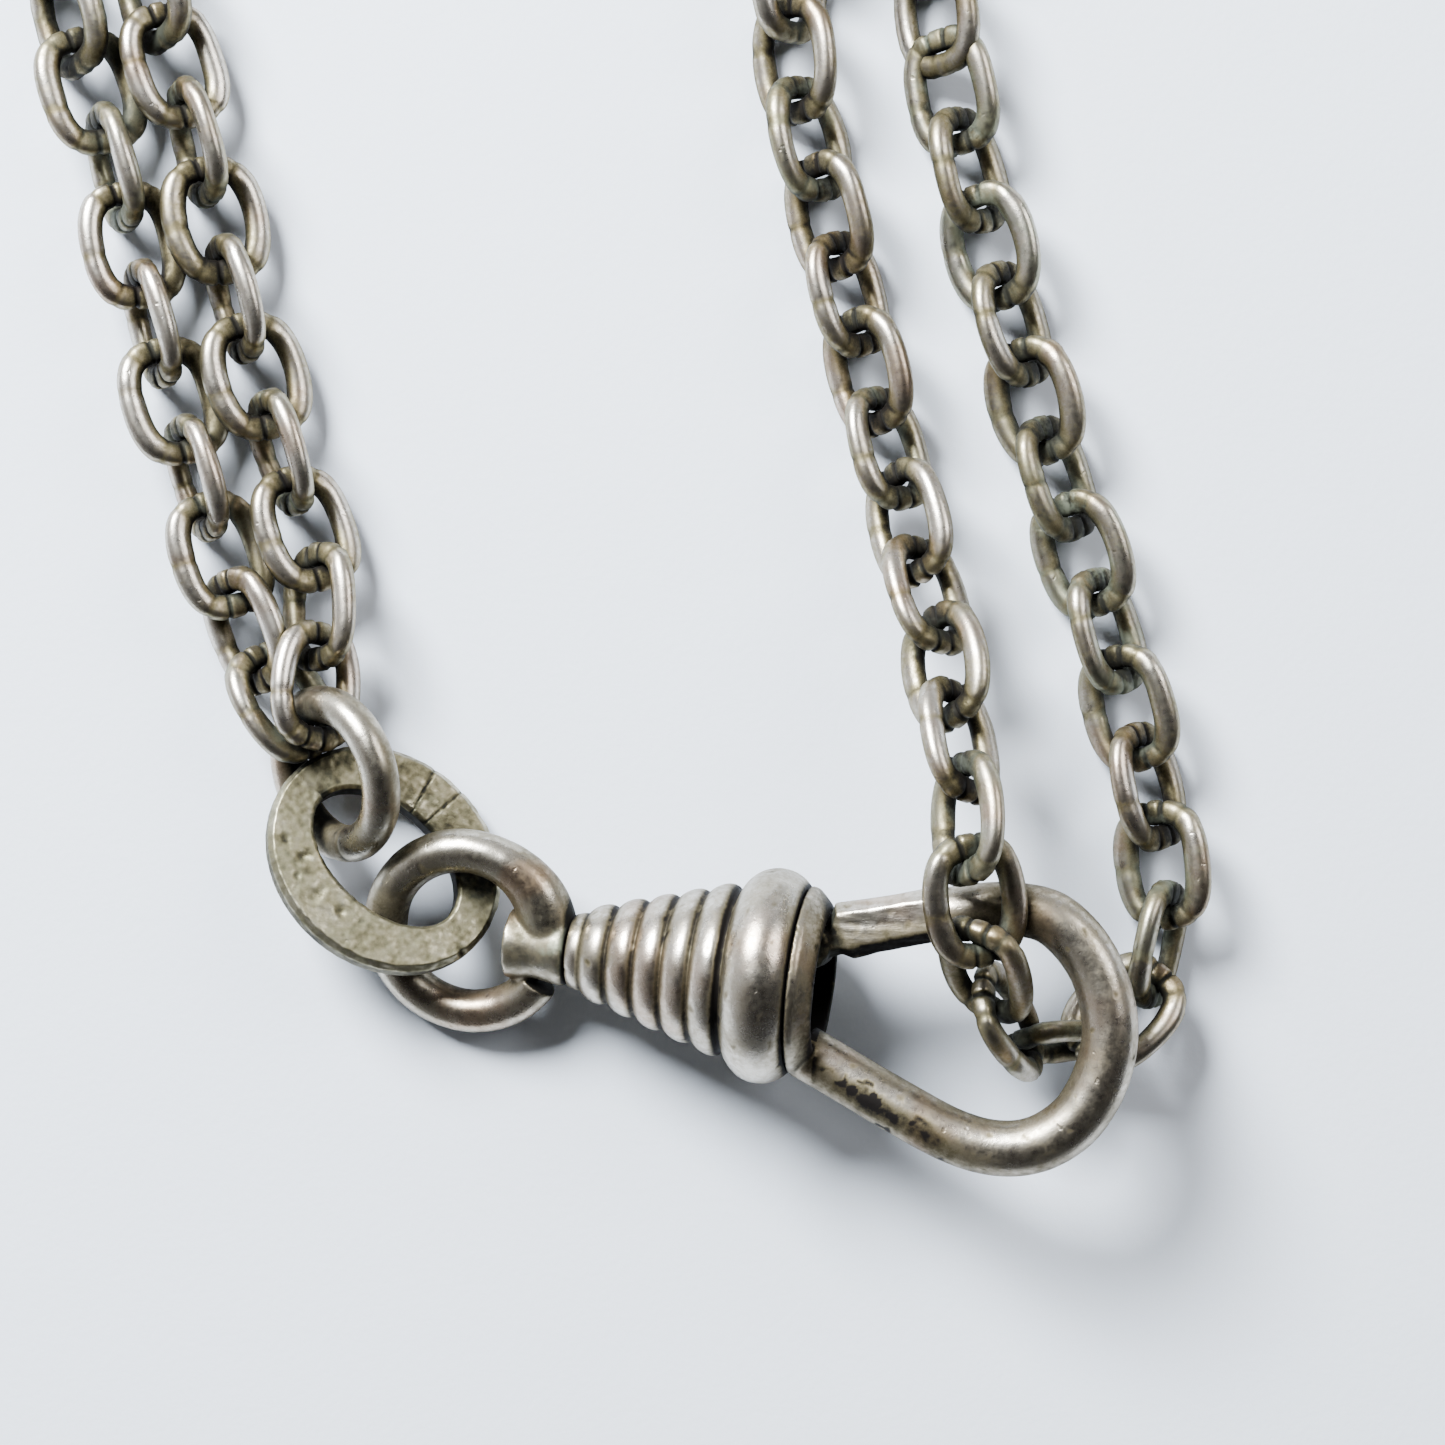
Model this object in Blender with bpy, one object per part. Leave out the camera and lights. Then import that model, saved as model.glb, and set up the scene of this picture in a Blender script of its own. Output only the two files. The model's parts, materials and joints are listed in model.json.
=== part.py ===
"""Silver guard chain for a pocket watch, with its swivel snap hook, laid out on a table.

Metres, +Z up, the table at Z = 0. The origin is under the middle of the laid-out piece, without
the stored length of chain. The snap lies with its round collar and its swivel eye on the table
and its hook end raised. The chain starts and ends on the jump ring, and passes through the hook.
"""
import math

import bmesh
import bpy
from mathutils import Matrix, Vector

MM = 0.001

# Moves the whole layout, so that the origin is under its middle.
LAYOUT_SHIFT = Vector((0.42, 0.03, 0.02)) * MM

# Chain link: a broad oval of round wire, and the distance from one pivot to the next.
LINK_LENGTH = 4.50 * MM
LINK_WIDTH = 3.56 * MM
LINK_WIRE = 0.78 * MM
LINK_PITCH = 2.83 * MM
LINK_SIDES = 6
LINK_ARC_STEPS = 6

# Snap frame: the small end of the barrel, on the swivel's axis, and the way that the axis points.
SNAP_ORIGIN = Vector((-2.2, -13.1, 2.45)) * MM
SNAP_TURN = math.radians(-6.5)
SNAP_RISE = math.radians(10.5)

# Barrel: five turned ribs that grow towards a round collar bead, hollow from its mouth.
BARREL_SEGMENTS = 32
BARREL_END_RADIUS = 1.27 * MM
BARREL_BORE = 0.60 * MM
RIB_COUNT = 5
RIB_FIRST_AT = 1.00 * MM
RIB_SPACING = 1.04 * MM
RIB_FIRST_RADIUS = 1.72 * MM
RIB_GROWTH = 0.31 * MM
RIB_DEPTH = 0.20 * MM
BEAD_AT = 7.05 * MM
BEAD_RADIUS = 3.72 * MM
BEAD_ROUND = 1.28 * MM
BARREL_LENGTH = 8.08 * MM
CAVITY_RADIUS = 2.62 * MM

# Hook: a base ring that closes the barrel's mouth, and the bent wire that grows out of it.
HOOK_RING_END = 8.98 * MM
HOOK_RING_OUTER = 3.38 * MM
HOOK_RING_INNER = 2.36 * MM
HOOK_SPIGOT = 2.56 * MM
HOOK_SPIGOT_START = 7.00 * MM
HOOK_WIRE = 1.86 * MM
HOOK_SIDES = 12
HOOK_ROUTE = (  # along the axis, across it
    (8.45, -2.40), (9.80, -2.97), (11.90, -3.87), (13.90, -4.62), (15.50, -4.83),
    (16.85, -4.50), (17.98, -3.57), (18.62, -2.30), (18.85, -0.90), (18.70, 0.30),
    (18.15, 1.60), (17.30, 2.60), (16.20, 3.24), (14.60, 3.25), (12.72, 2.80),
)

# Gate: a filed lever on a cross pin inside the base ring. It closes the hook from within.
GATE_PIVOT = (8.35 * MM, 1.20 * MM)
GATE_KNUCKLE = 0.78 * MM
GATE_WIDTH = 1.90 * MM
GATE_HEIGHT = 2.00 * MM
GATE_START = 9.52 * MM
GATE_END = 12.45 * MM
GATE_START_ACROSS = 1.88 * MM
GATE_END_ACROSS = 2.78 * MM
PIN_RADIUS = 0.30 * MM
PIN_LENGTH = 3.00 * MM
SPRING_RADIUS = 0.85 * MM
SPRING_WIRE = 0.26 * MM
SPRING_TURNS = 5
SPRING_START = 3.60 * MM
SPRING_LENGTH = 3.40 * MM

# Swivel eye: an open ring of wire on a post that turns in the end of the barrel.
EYE_CENTRE = (-3.80 * MM, 0.20 * MM)
EYE_RADIUS = 3.00 * MM
EYE_WIRE = 1.54 * MM
EYE_ARC = (math.radians(12.0), math.radians(330.0))
EYE_ROLL = math.radians(18.0)
POST_RADIUS = 1.27 * MM
POST_LENGTH = 2.30 * MM
SHANK_RADIUS = 0.52 * MM
SHANK_END = 1.75 * MM
HEAD_RADIUS = 0.95 * MM
HEAD_THICKNESS = 0.35 * MM
WASHER_RADII = (0.60 * MM, 1.00 * MM)
WASHER_AT = (1.12 * MM, 1.32 * MM)

# Flat ring and jump ring, which join the eye to both ends of the chain.
FLAT_RING_CENTRE = Vector((-8.83, -9.97, 2.00)) * MM
FLAT_RING_OUTER = (4.40 * MM, 3.75 * MM)
FLAT_RING_INNER = (3.00 * MM, 1.85 * MM)
FLAT_RING_THICKNESS = 1.00 * MM
FLAT_RING_TURN = math.radians(-43.0)
FLAT_RING_TILT = math.radians(24.0)
JUMP_RING_CENTRE = Vector((-10.50, -6.95, 2.56)) * MM
JUMP_RING_RADIUS = 2.52 * MM
JUMP_RING_WIRE = 1.35 * MM
JUMP_RING_TURN = math.radians(109.0)
JUMP_RING_TILT = math.radians(47.0)

# Chain routes, in millimetres, each from its first pivot outwards. The first links of strands A
# and B hold the jump ring. The hook route runs from the link under the hook wire, up through the
# hook and over its tip, and on down strand C. Strand D starts at that link's other end.
ROUTE_A = (
    (-11.61, -5.60, 1.92), (-13.18, -3.24, 1.74), (-14.20, -0.58, 1.68), (-15.05, 2.13, 1.68),
    (-15.88, 4.85, 1.68), (-16.70, 7.57, 1.68), (-17.45, 10.40, 1.68), (-18.05, 13.20, 1.68),
    (-18.80, 15.95, 1.68), (-19.65, 18.70, 1.68), (-20.75, 22.30, 1.68),
)
ROUTE_B = (
    (-11.24, -5.25, 2.80), (-11.07, -2.48, 2.23), (-11.15, 0.33, 1.85), (-12.08, 3.00, 1.66),
    (-12.95, 5.70, 1.68), (-13.75, 8.42, 1.68), (-14.50, 11.20, 1.68), (-15.10, 14.00, 1.68),
    (-15.85, 16.75, 1.68), (-16.70, 19.50, 1.68), (-17.70, 23.00, 1.68),
)
HOOK_LINK = ((13.58, -16.28, 3.30), (16.15, -16.30, 2.06))
ROUTE_C = (
    (13.62, -16.28, 3.27), (12.17, -14.56, 5.02), (11.70, -12.45, 6.87), (11.29, -9.68, 7.31),
    (11.20, -6.96, 6.48), (10.90, -4.43, 5.25), (10.40, -1.85, 3.95), (9.80, 0.80, 2.75),
    (9.10, 3.65, 1.85), (8.30, 6.80, 1.46), (7.45, 10.00, 1.40), (6.70, 13.00, 1.40),
    (5.95, 16.00, 1.40), (5.45, 19.00, 1.40), (5.30, 23.50, 1.40),
)
ROUTE_D = (
    (16.13, -16.32, 2.07), (18.14, -14.32, 1.62), (18.68, -11.56, 1.62), (18.35, -8.60, 1.50),
    (17.55, -5.40, 1.42), (16.60, -1.80, 1.42), (15.60, 1.20, 1.42), (14.60, 4.20, 1.42),
    (13.80, 7.10, 1.42), (12.95, 10.00, 1.42), (12.10, 13.00, 1.42), (11.30, 16.20, 1.42),
    (10.60, 19.50, 1.42), (10.05, 23.50, 1.42),
)
LINKS_A = 9
LINKS_B = 9
LINKS_C = 12
LINKS_D = 13
HOOK_LINKS = 3
ROLLS_A = (42, -42, 28, -61, 25, -63)
ROLLS_B = (45, -45, 31, -62, 25, -63)
ROLL_UNDER_HOOK = 68
ROLLS_THROUGH_HOOK = (57, -42)
ROLLS_C = (20, -59, 48, -45, 45)
ROLLS_D = (-29, 62, -36, 48)

# Runs of stored chain, in millimetres, from each strand's far end to the coil.
RUN_A = ((-19.92, 19.54, 1.60), (-21.20, 23.60, 1.42), (-22.75, 28.00, 1.40), (-24.10, 31.10, 1.40))
RUN_B = ((-17.00, 20.45, 1.60), (-17.75, 23.00, 1.42), (-18.65, 25.50, 1.40), (-19.70, 27.90, 1.40))
RUN_C = ((5.27, 20.68, 1.40), (5.55, 23.20, 1.40), (6.80, 25.80, 1.40), (8.70, 27.90, 1.45))
RUN_D = ((10.56, 19.66, 1.42), (10.35, 23.60, 1.45), (11.40, 27.40, 2.15), (13.10, 31.10, 3.25))
RUN_RADIUS = 1.2 * MM
RUN_STEPS = 4

# Stored chain: both halves wound side by side in two layers, a ring of turns beyond the snap.
COIL_CENTRE = Vector((-5.5, 52.0, 0.0)) * MM
COIL_RADII = (5.2 * MM, 26.6 * MM)
COIL_HEIGHT = 5.5 * MM


def material(name, colour, roughness, metallic=1.0):
    made = bpy.data.materials.new(name)
    made.use_nodes = True
    shader = made.node_tree.nodes["Principled BSDF"]
    shader.inputs["Base Color"].default_value = (*colour, 1.0)
    shader.inputs["Roughness"].default_value = roughness
    shader.inputs["Metallic"].default_value = metallic
    return made


# ---------------------------------------------------------------- mesh helpers


def place(name, mesh, look, matrix, parent=None):
    """A named object of this mesh, at this place in the parent's frame."""
    made = bpy.data.objects.new(name, mesh)
    bpy.context.scene.collection.objects.link(made)
    if not mesh.materials:
        mesh.materials.append(look)
    made.parent = parent
    made.matrix_local = matrix if parent else Matrix.Translation(LAYOUT_SHIFT) @ matrix
    return made


def finished(bm, name, crease=35.0):
    """The bmesh as a mesh with outward faces, smooth but for its real edges."""
    bmesh.ops.recalc_face_normals(bm, faces=bm.faces)
    mesh = bpy.data.meshes.new(name)
    bm.to_mesh(mesh)
    bm.free()
    mesh.shade_smooth()
    mesh.set_sharp_from_angle(angle=math.radians(crease))
    return mesh


def oval(across, up, sides, start=0.0):
    """Corners of an oval section, as (across, up) pairs."""
    turns = [start + math.tau * k / sides for k in range(sides)]
    return [(across * math.cos(t), up * math.sin(t)) for t in turns]


def swept(bm, centres, sections, up, closed=False):
    """A skin through sections placed square to a line of centres, capped unless it is closed."""
    count = len(centres)
    rings = []
    for k, centre in enumerate(centres):
        before = centres[(k - 1) % count] if closed or k else centre
        after = centres[(k + 1) % count] if closed or k < count - 1 else centre
        along = (after - before).normalized()
        side = along.cross(up).normalized()
        top = side.cross(along)
        rings.append([bm.verts.new(centre + side * a + top * b) for a, b in sections[k]])
    pairs = list(zip(rings, rings[1:] + rings[:1])) if closed else list(zip(rings, rings[1:]))
    for one, two in pairs:
        for k in range(len(one)):
            j = (k + 1) % len(one)
            bm.faces.new((one[k], one[j], two[j], two[k]))
    if not closed:
        bm.faces.new(rings[0])
        bm.faces.new(rings[-1])


def turned(bm, profile, segments):
    """A closed profile of (along, radius) points turned about the X axis."""
    corners = [bm.verts.new((x, 0.0, r)) for x, r in profile]
    edges = [bm.edges.new((corners[k - 1], corners[k])) for k in range(len(corners))]
    bmesh.ops.spin(
        bm, geom=corners + edges, cent=(0, 0, 0), axis=(1, 0, 0),
        angle=math.tau, steps=segments, use_merge=True,
    )
    bmesh.ops.remove_doubles(bm, verts=bm.verts, dist=1e-7)


def arc(centre, radius, start, end, steps):
    """Points (along, across) on an arc, both ends included."""
    turns = [start + (end - start) * k / steps for k in range(steps + 1)]
    return [(centre[0] + radius * math.cos(t), centre[1] + radius * math.sin(t)) for t in turns]


def smooth_line(points, steps):
    """A Catmull-Rom curve through the points, with this many steps between each two."""
    ends = [points[0] * 2 - points[1]] + list(points) + [points[-1] * 2 - points[-2]]
    line = []
    for a, b, c, d in zip(ends, ends[1:], ends[2:], ends[3:]):
        for k in range(steps):
            t = k / steps
            line.append(
                (b * 2 + (c - a) * t + (a * 2 - b * 5 + c * 4 - d) * t * t
                 + (b * 3 - a - c * 3 + d) * t ** 3) / 2
            )
    return line + [points[-1]]


def cut(target, cutter, operation):
    """Boolean the cutter into the target, and take the cutter out of the model."""
    cutter.hide_render = True
    cutter.display_type = "WIRE"
    step = target.modifiers.new(operation.title(), "BOOLEAN")
    step.operation = operation
    step.object = cutter


# ---------------------------------------------------------------- chain


def link_mesh():
    """One link along +X from its near pivot, with its flat faces up and down."""
    bend = (LINK_WIDTH - LINK_WIRE) / 2
    straight = (LINK_LENGTH - LINK_WIDTH) / 2
    outline = arc((straight, 0), bend, -math.pi / 2, math.pi / 2, LINK_ARC_STEPS)
    outline += arc((-straight, 0), bend, math.pi / 2, math.pi * 1.5, LINK_ARC_STEPS)
    centres = [Vector((x + LINK_PITCH / 2, y, 0)) for x, y in outline]
    wire = oval(LINK_WIRE / 2, LINK_WIRE / 2, LINK_SIDES)
    bm = bmesh.new()
    swept(bm, centres, [wire] * len(centres), Vector((0, 0, 1)), closed=True)
    return finished(bm, "link")


def pivots(route, count):
    """Pivot points a link's pitch apart along the smooth route, one more than the links."""
    line = smooth_line([Vector(p) * MM for p in route], 60)
    found = [line[0]]
    for one, two in zip(line, line[1:]):
        if (two - found[-1]).length >= LINK_PITCH:
            inside, outside = 0.0, 1.0
            for _ in range(30):
                middle = (inside + outside) / 2
                near = (one.lerp(two, middle) - found[-1]).length < LINK_PITCH
                inside, outside = (middle, outside) if near else (inside, middle)
            found.append(one.lerp(two, outside))
            if len(found) > count:
                break
    return found


def link_frame(near, far, roll):
    """Places a link's mesh from its near pivot to its far one, rolled about that line."""
    along = (far - near).normalized()
    side = Vector((0, 0, 1)).cross(along).normalized()
    up = along.cross(side)
    turn = Matrix((along, side, up)).transposed().to_4x4()
    return Matrix.Translation(near) @ turn @ Matrix.Rotation(roll, 4, "X")


def strand(prefix, points, rolls, mesh, look):
    """Links from pivot to pivot. The last two rolls, in degrees, repeat down the strand."""
    for k, (near, far) in enumerate(zip(points, points[1:])):
        last = len(rolls) - 2
        roll = rolls[k] if k < last else rolls[last + (k - last) % 2]
        place(f"{prefix}_{k + 1:02d}", mesh, look, link_frame(near, far, math.radians(roll)))


def run_tube(name, points, look):
    """A plain tube along a stretch of stored chain."""
    curve = bpy.data.curves.new(name, "CURVE")
    curve.dimensions = "3D"
    curve.bevel_depth = RUN_RADIUS
    curve.bevel_resolution = 2
    curve.use_fill_caps = True
    curve.materials.append(look)
    line = curve.splines.new("POLY")
    line.points.add(len(points) - 1)
    for spot, point in zip(line.points, points):
        spot.co = (*(point + LAYOUT_SHIFT), 1.0)
    made = bpy.data.objects.new(name, curve)
    bpy.context.scene.collection.objects.link(made)


# ---------------------------------------------------------------- snap


def barrel_profile():
    """The closed half-section: the outside from the small end, then the cavity back to the bore."""
    outside = [(0.0, BARREL_BORE), (0.0, BARREL_END_RADIUS), (0.20 * MM, BARREL_END_RADIUS + 0.14 * MM)]
    for k in range(RIB_COUNT):
        crown = RIB_FIRST_RADIUS + k * RIB_GROWTH
        at = RIB_FIRST_AT + k * RIB_SPACING
        half = RIB_SPACING / 2
        outside += [
            (at - half, crown - RIB_DEPTH - RIB_GROWTH / 2),
            (at - half * 0.55, crown - RIB_DEPTH * 0.25 - RIB_GROWTH / 4),
            (at, crown),
            (at + half * 0.55, crown - RIB_DEPTH * 0.25 + RIB_GROWTH / 6),
        ]
    round_centre = (BEAD_AT, BEAD_RADIUS - BEAD_ROUND)
    outside += arc(round_centre, BEAD_ROUND, math.radians(165), math.radians(38), 9)
    mouth = [(BARREL_LENGTH, 3.02 * MM), (BARREL_LENGTH, CAVITY_RADIUS)]
    cavity = [(5.9 * MM, CAVITY_RADIUS), (5.2 * MM, 2.30 * MM), (1.9 * MM, 1.22 * MM),
              (1.08 * MM, 1.16 * MM), (1.08 * MM, BARREL_BORE)]
    return outside + mouth + cavity


def make_barrel(frame, look):
    bm = bmesh.new()
    turned(bm, barrel_profile(), BARREL_SEGMENTS)
    place("barrel", finished(bm, "barrel"), look, Matrix(), frame)


def make_hook(frame, look):
    ring = bmesh.new()
    turned(ring, [
        (HOOK_SPIGOT_START, HOOK_RING_INNER), (HOOK_SPIGOT_START, HOOK_SPIGOT),
        (BARREL_LENGTH + 0.05 * MM, HOOK_SPIGOT), (BARREL_LENGTH + 0.05 * MM, HOOK_RING_OUTER),
        (BARREL_LENGTH + 0.45 * MM, HOOK_RING_OUTER - 0.06 * MM),
        (HOOK_RING_END - 0.12 * MM, HOOK_RING_OUTER - 0.30 * MM),
        (HOOK_RING_END, HOOK_RING_OUTER - 0.55 * MM), (HOOK_RING_END, HOOK_RING_INNER),
    ], BARREL_SEGMENTS)
    hook = place("hook", finished(ring, "hook"), look, Matrix(), frame)
    line = smooth_line([Vector((u, v, 0)) * MM for u, v in HOOK_ROUTE], 2)
    wire = oval(HOOK_WIRE / 2, HOOK_WIRE / 2, HOOK_SIDES, math.radians(15))
    arm = bmesh.new()
    swept(arm, line, [wire] * len(line), Vector((0, 0, 1)))
    cutter = place("hook_wire", finished(arm, "hook_wire"), look, Matrix(), frame)
    cut(hook, cutter, "UNION")


def make_gate(frame, look, pin_look):
    pivot = Vector((*GATE_PIVOT, 0))
    body = bmesh.new()
    start = Vector((GATE_START, GATE_START_ACROSS, 0)) - pivot
    end = Vector((GATE_END, GATE_END_ACROSS, 0)) - pivot
    tall, wide = GATE_HEIGHT / 2, GATE_WIDTH / 2
    filed = [(tall, wide * 0.5), (tall * 0.62, wide), (-tall * 0.62, wide), (-tall, wide * 0.5),
             (-tall, -wide * 0.5), (-tall * 0.62, -wide), (tall * 0.62, -wide), (tall, -wide * 0.5)]
    slim = [(a * 0.92, b * 0.94) for a, b in filed]
    root = [(a * 0.55, b * 0.84) for a, b in filed]
    neck = Vector((0.10 * MM, 0.0, 0))
    throat = Vector((0.86 * MM, 0.35 * MM, 0))
    middle = start.lerp(end, 0.35)
    swept(body, [neck, throat, start, middle, end], [root, root, filed, slim, slim],
          Vector((0, 0, 1)))
    gate = place("gate", finished(body, "gate"), look, Matrix.Translation(pivot), frame)
    knuckle = bmesh.new()
    bmesh.ops.create_cone(knuckle, cap_ends=True, segments=16, depth=GATE_WIDTH,
                          radius1=GATE_KNUCKLE, radius2=GATE_KNUCKLE)
    bore = bmesh.new()
    bmesh.ops.create_cone(bore, cap_ends=True, segments=12, depth=GATE_WIDTH * 1.5,
                          radius1=PIN_RADIUS + 0.05 * MM, radius2=PIN_RADIUS + 0.05 * MM)
    cut(gate, place("gate_knuckle", finished(knuckle, "gate_knuckle"), look,
                    Matrix.Translation(pivot), frame), "UNION")
    cut(gate, place("gate_bore", finished(bore, "gate_bore"), look,
                    Matrix.Translation(pivot), frame), "DIFFERENCE")
    pin = bmesh.new()
    bmesh.ops.create_cone(pin, cap_ends=True, segments=12, depth=PIN_LENGTH,
                          radius1=PIN_RADIUS, radius2=PIN_RADIUS)
    place("gate_pin", finished(pin, "gate_pin"), pin_look, Matrix.Translation(pivot), frame)


def make_spring(frame, look):
    """A coil spring inside the barrel that pushes the gate's root."""
    steps = SPRING_TURNS * 12
    centres = []
    for k in range(steps + 1):
        turn = math.tau * SPRING_TURNS * k / steps
        centres.append(Vector((SPRING_START + SPRING_LENGTH * k / steps,
                               SPRING_RADIUS * math.cos(turn), SPRING_RADIUS * math.sin(turn))))
    wire = oval(SPRING_WIRE / 2, SPRING_WIRE / 2, 6)
    bm = bmesh.new()
    swept(bm, centres, [wire] * len(centres), Vector((1, 0, 0)))
    place("gate_spring", finished(bm, "gate_spring"), look, Matrix(), frame)


def make_eye(frame, look):
    """The swivel's eye, its post and its shank with a riveted head, and the washer behind the head."""
    roll = Matrix.Rotation(EYE_ROLL, 4, "X")
    post = bmesh.new()
    turned(post, [
        (-POST_LENGTH, 0.0), (-POST_LENGTH, POST_RADIUS * 0.92), (-POST_LENGTH * 0.5, POST_RADIUS),
        (-0.05 * MM, POST_RADIUS), (-0.05 * MM, SHANK_RADIUS), (SHANK_END - HEAD_THICKNESS, SHANK_RADIUS),
        (SHANK_END - HEAD_THICKNESS, HEAD_RADIUS), (SHANK_END, HEAD_RADIUS * 0.7), (SHANK_END, 0.0),
    ], 24)
    eye = place("swivel_eye", finished(post, "swivel_eye"), look, roll, frame)
    centre = Vector((*EYE_CENTRE, 0))
    steps = 30
    start, end = EYE_ARC
    ring = [centre + Vector((x, y, 0)) for x, y in arc((0, 0), EYE_RADIUS, start, end, steps)]
    wire = oval(EYE_WIRE / 2, EYE_WIRE / 2, 10)
    wires = bmesh.new()
    swept(wires, ring, [wire] * len(ring), Vector((0, 0, 1)))
    cut(eye, place("eye_ring", finished(wires, "eye_ring"), look, roll, frame), "UNION")
    hollow = bmesh.new()
    bmesh.ops.create_cone(hollow, cap_ends=True, segments=24, depth=4 * MM,
                          radius1=EYE_RADIUS - EYE_WIRE * 0.46, radius2=EYE_RADIUS - EYE_WIRE * 0.46)
    cut(eye, place("eye_hollow", finished(hollow, "eye_hollow"), look,
                   roll @ Matrix.Translation(centre), frame), "DIFFERENCE")
    washer = bmesh.new()
    inner, outer = WASHER_RADII
    near, far = WASHER_AT
    turned(washer, [(near, inner), (near, outer), (far, outer), (far, inner)], 24)
    place("swivel_washer", finished(washer, "swivel_washer"), look, Matrix(), frame)


def make_rings(look):
    half, edge = FLAT_RING_THICKNESS / 2, 0.12 * MM
    outline, sections = [], []
    for k in range(32):
        turn = math.tau * k / 32
        way = Vector((math.cos(turn), math.sin(turn)))
        far = Vector((way.x * FLAT_RING_OUTER[0], way.y * FLAT_RING_OUTER[1], 0))
        near = Vector((way.x * FLAT_RING_INNER[0], way.y * FLAT_RING_INNER[1], 0))
        band = (far - near).length / 2
        outline.append((far + near) / 2)
        sections.append([
            (band, half - edge), (band - edge, half), (edge - band, half), (-band, half - edge),
            (-band, edge - half), (edge - band, -half), (band - edge, -half), (band, edge - half),
        ])
    bm = bmesh.new()
    swept(bm, outline, sections, Vector((0, 0, 1)), closed=True)
    turn = Matrix.Rotation(FLAT_RING_TURN, 4, "Z") @ Matrix.Rotation(-FLAT_RING_TILT, 4, "X")
    place("flat_ring", finished(bm, "flat_ring"), look, Matrix.Translation(FLAT_RING_CENTRE) @ turn)
    hoop = [Vector((x, y, 0)) for x, y in arc((0, 0), JUMP_RING_RADIUS, 0, math.tau, 28)[:-1]]
    wire = oval(JUMP_RING_WIRE / 2, JUMP_RING_WIRE / 2, 8)
    bm = bmesh.new()
    swept(bm, hoop, [wire] * len(hoop), Vector((0, 0, 1)), closed=True)
    turn = Matrix.Rotation(JUMP_RING_TURN, 4, "Z") @ Matrix.Rotation(-JUMP_RING_TILT, 4, "X")
    place("jump_ring", finished(bm, "jump_ring"), look, Matrix.Translation(JUMP_RING_CENTRE) @ turn)


def make_chain(look):
    mesh = link_mesh()
    strand("chain_a", pivots(ROUTE_A, LINKS_A), ROLLS_A, mesh, look)
    strand("chain_b", pivots(ROUTE_B, LINKS_B), ROLLS_B, mesh, look)
    strand("chain_d", pivots(ROUTE_D, LINKS_D), ROLLS_D, mesh, look)
    towards_c = pivots(ROUTE_C, LINKS_C + HOOK_LINKS - 1)
    strand("chain_c", towards_c[HOOK_LINKS - 1:], ROLLS_C, mesh, look)
    near, far = [Vector(p) * MM for p in HOOK_LINK]
    place("hook_link_1", mesh, look, link_frame(near, far, math.radians(ROLL_UNDER_HOOK)))
    for k, roll in enumerate(ROLLS_THROUGH_HOOK):
        frame = link_frame(towards_c[k], towards_c[k + 1], math.radians(roll))
        place(f"hook_link_{k + 2}", mesh, look, frame)


def make_runs(look):
    for name, points in (("run_a", RUN_A), ("run_b", RUN_B), ("run_c", RUN_C), ("run_d", RUN_D)):
        run_tube(name, smooth_line([Vector(p) * MM for p in points], RUN_STEPS), look)


def make_coil(look):
    inner, outer = COIL_RADII
    bm = bmesh.new()
    edge = 1.0 * MM
    turned(bm, [
        (0.0, inner + edge), (0.0, outer - edge), (edge, outer), (COIL_HEIGHT - edge, outer),
        (COIL_HEIGHT, outer - edge), (COIL_HEIGHT, inner + edge), (COIL_HEIGHT - edge, inner), (edge, inner),
    ], 48)
    upright = Matrix.Rotation(-math.pi / 2, 4, "Y")
    place("chain_coil", finished(bm, "chain_coil"), look, Matrix.Translation(COIL_CENTRE) @ upright)


def main():
    for old in list(bpy.data.objects):
        bpy.data.objects.remove(old, do_unlink=True)
    silver = material("aged_silver", (0.62, 0.59, 0.52), 0.30)
    chain_silver = material("tarnished_silver", (0.50, 0.46, 0.40), 0.35)
    steel = material("spring_steel", (0.35, 0.34, 0.32), 0.40)
    frame = bpy.data.objects.new("snap_frame", None)
    bpy.context.scene.collection.objects.link(frame)
    frame.matrix_local = (
        Matrix.Translation(SNAP_ORIGIN + LAYOUT_SHIFT) @ Matrix.Rotation(SNAP_TURN, 4, "Z")
        @ Matrix.Rotation(-SNAP_RISE, 4, "Y")
    )
    make_barrel(frame, silver)
    make_hook(frame, silver)
    make_gate(frame, silver, steel)
    make_spring(frame, steel)
    make_eye(frame, silver)
    make_rings(silver)
    make_chain(chain_silver)
    make_runs(chain_silver)
    make_coil(chain_silver)


main()
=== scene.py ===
"""Looks of a silver guard chain for a pocket watch, with its swivel snap, laid out on white paper.

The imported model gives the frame. The fine pieces are modelled in millimetres, in the snap's own
frame, in a ring's frame or in a link's, and then brought to the model's place in metres.
"""
import json
import math
import random

import bpy
import numpy as np
from mathutils import Matrix, Vector, noise


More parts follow.
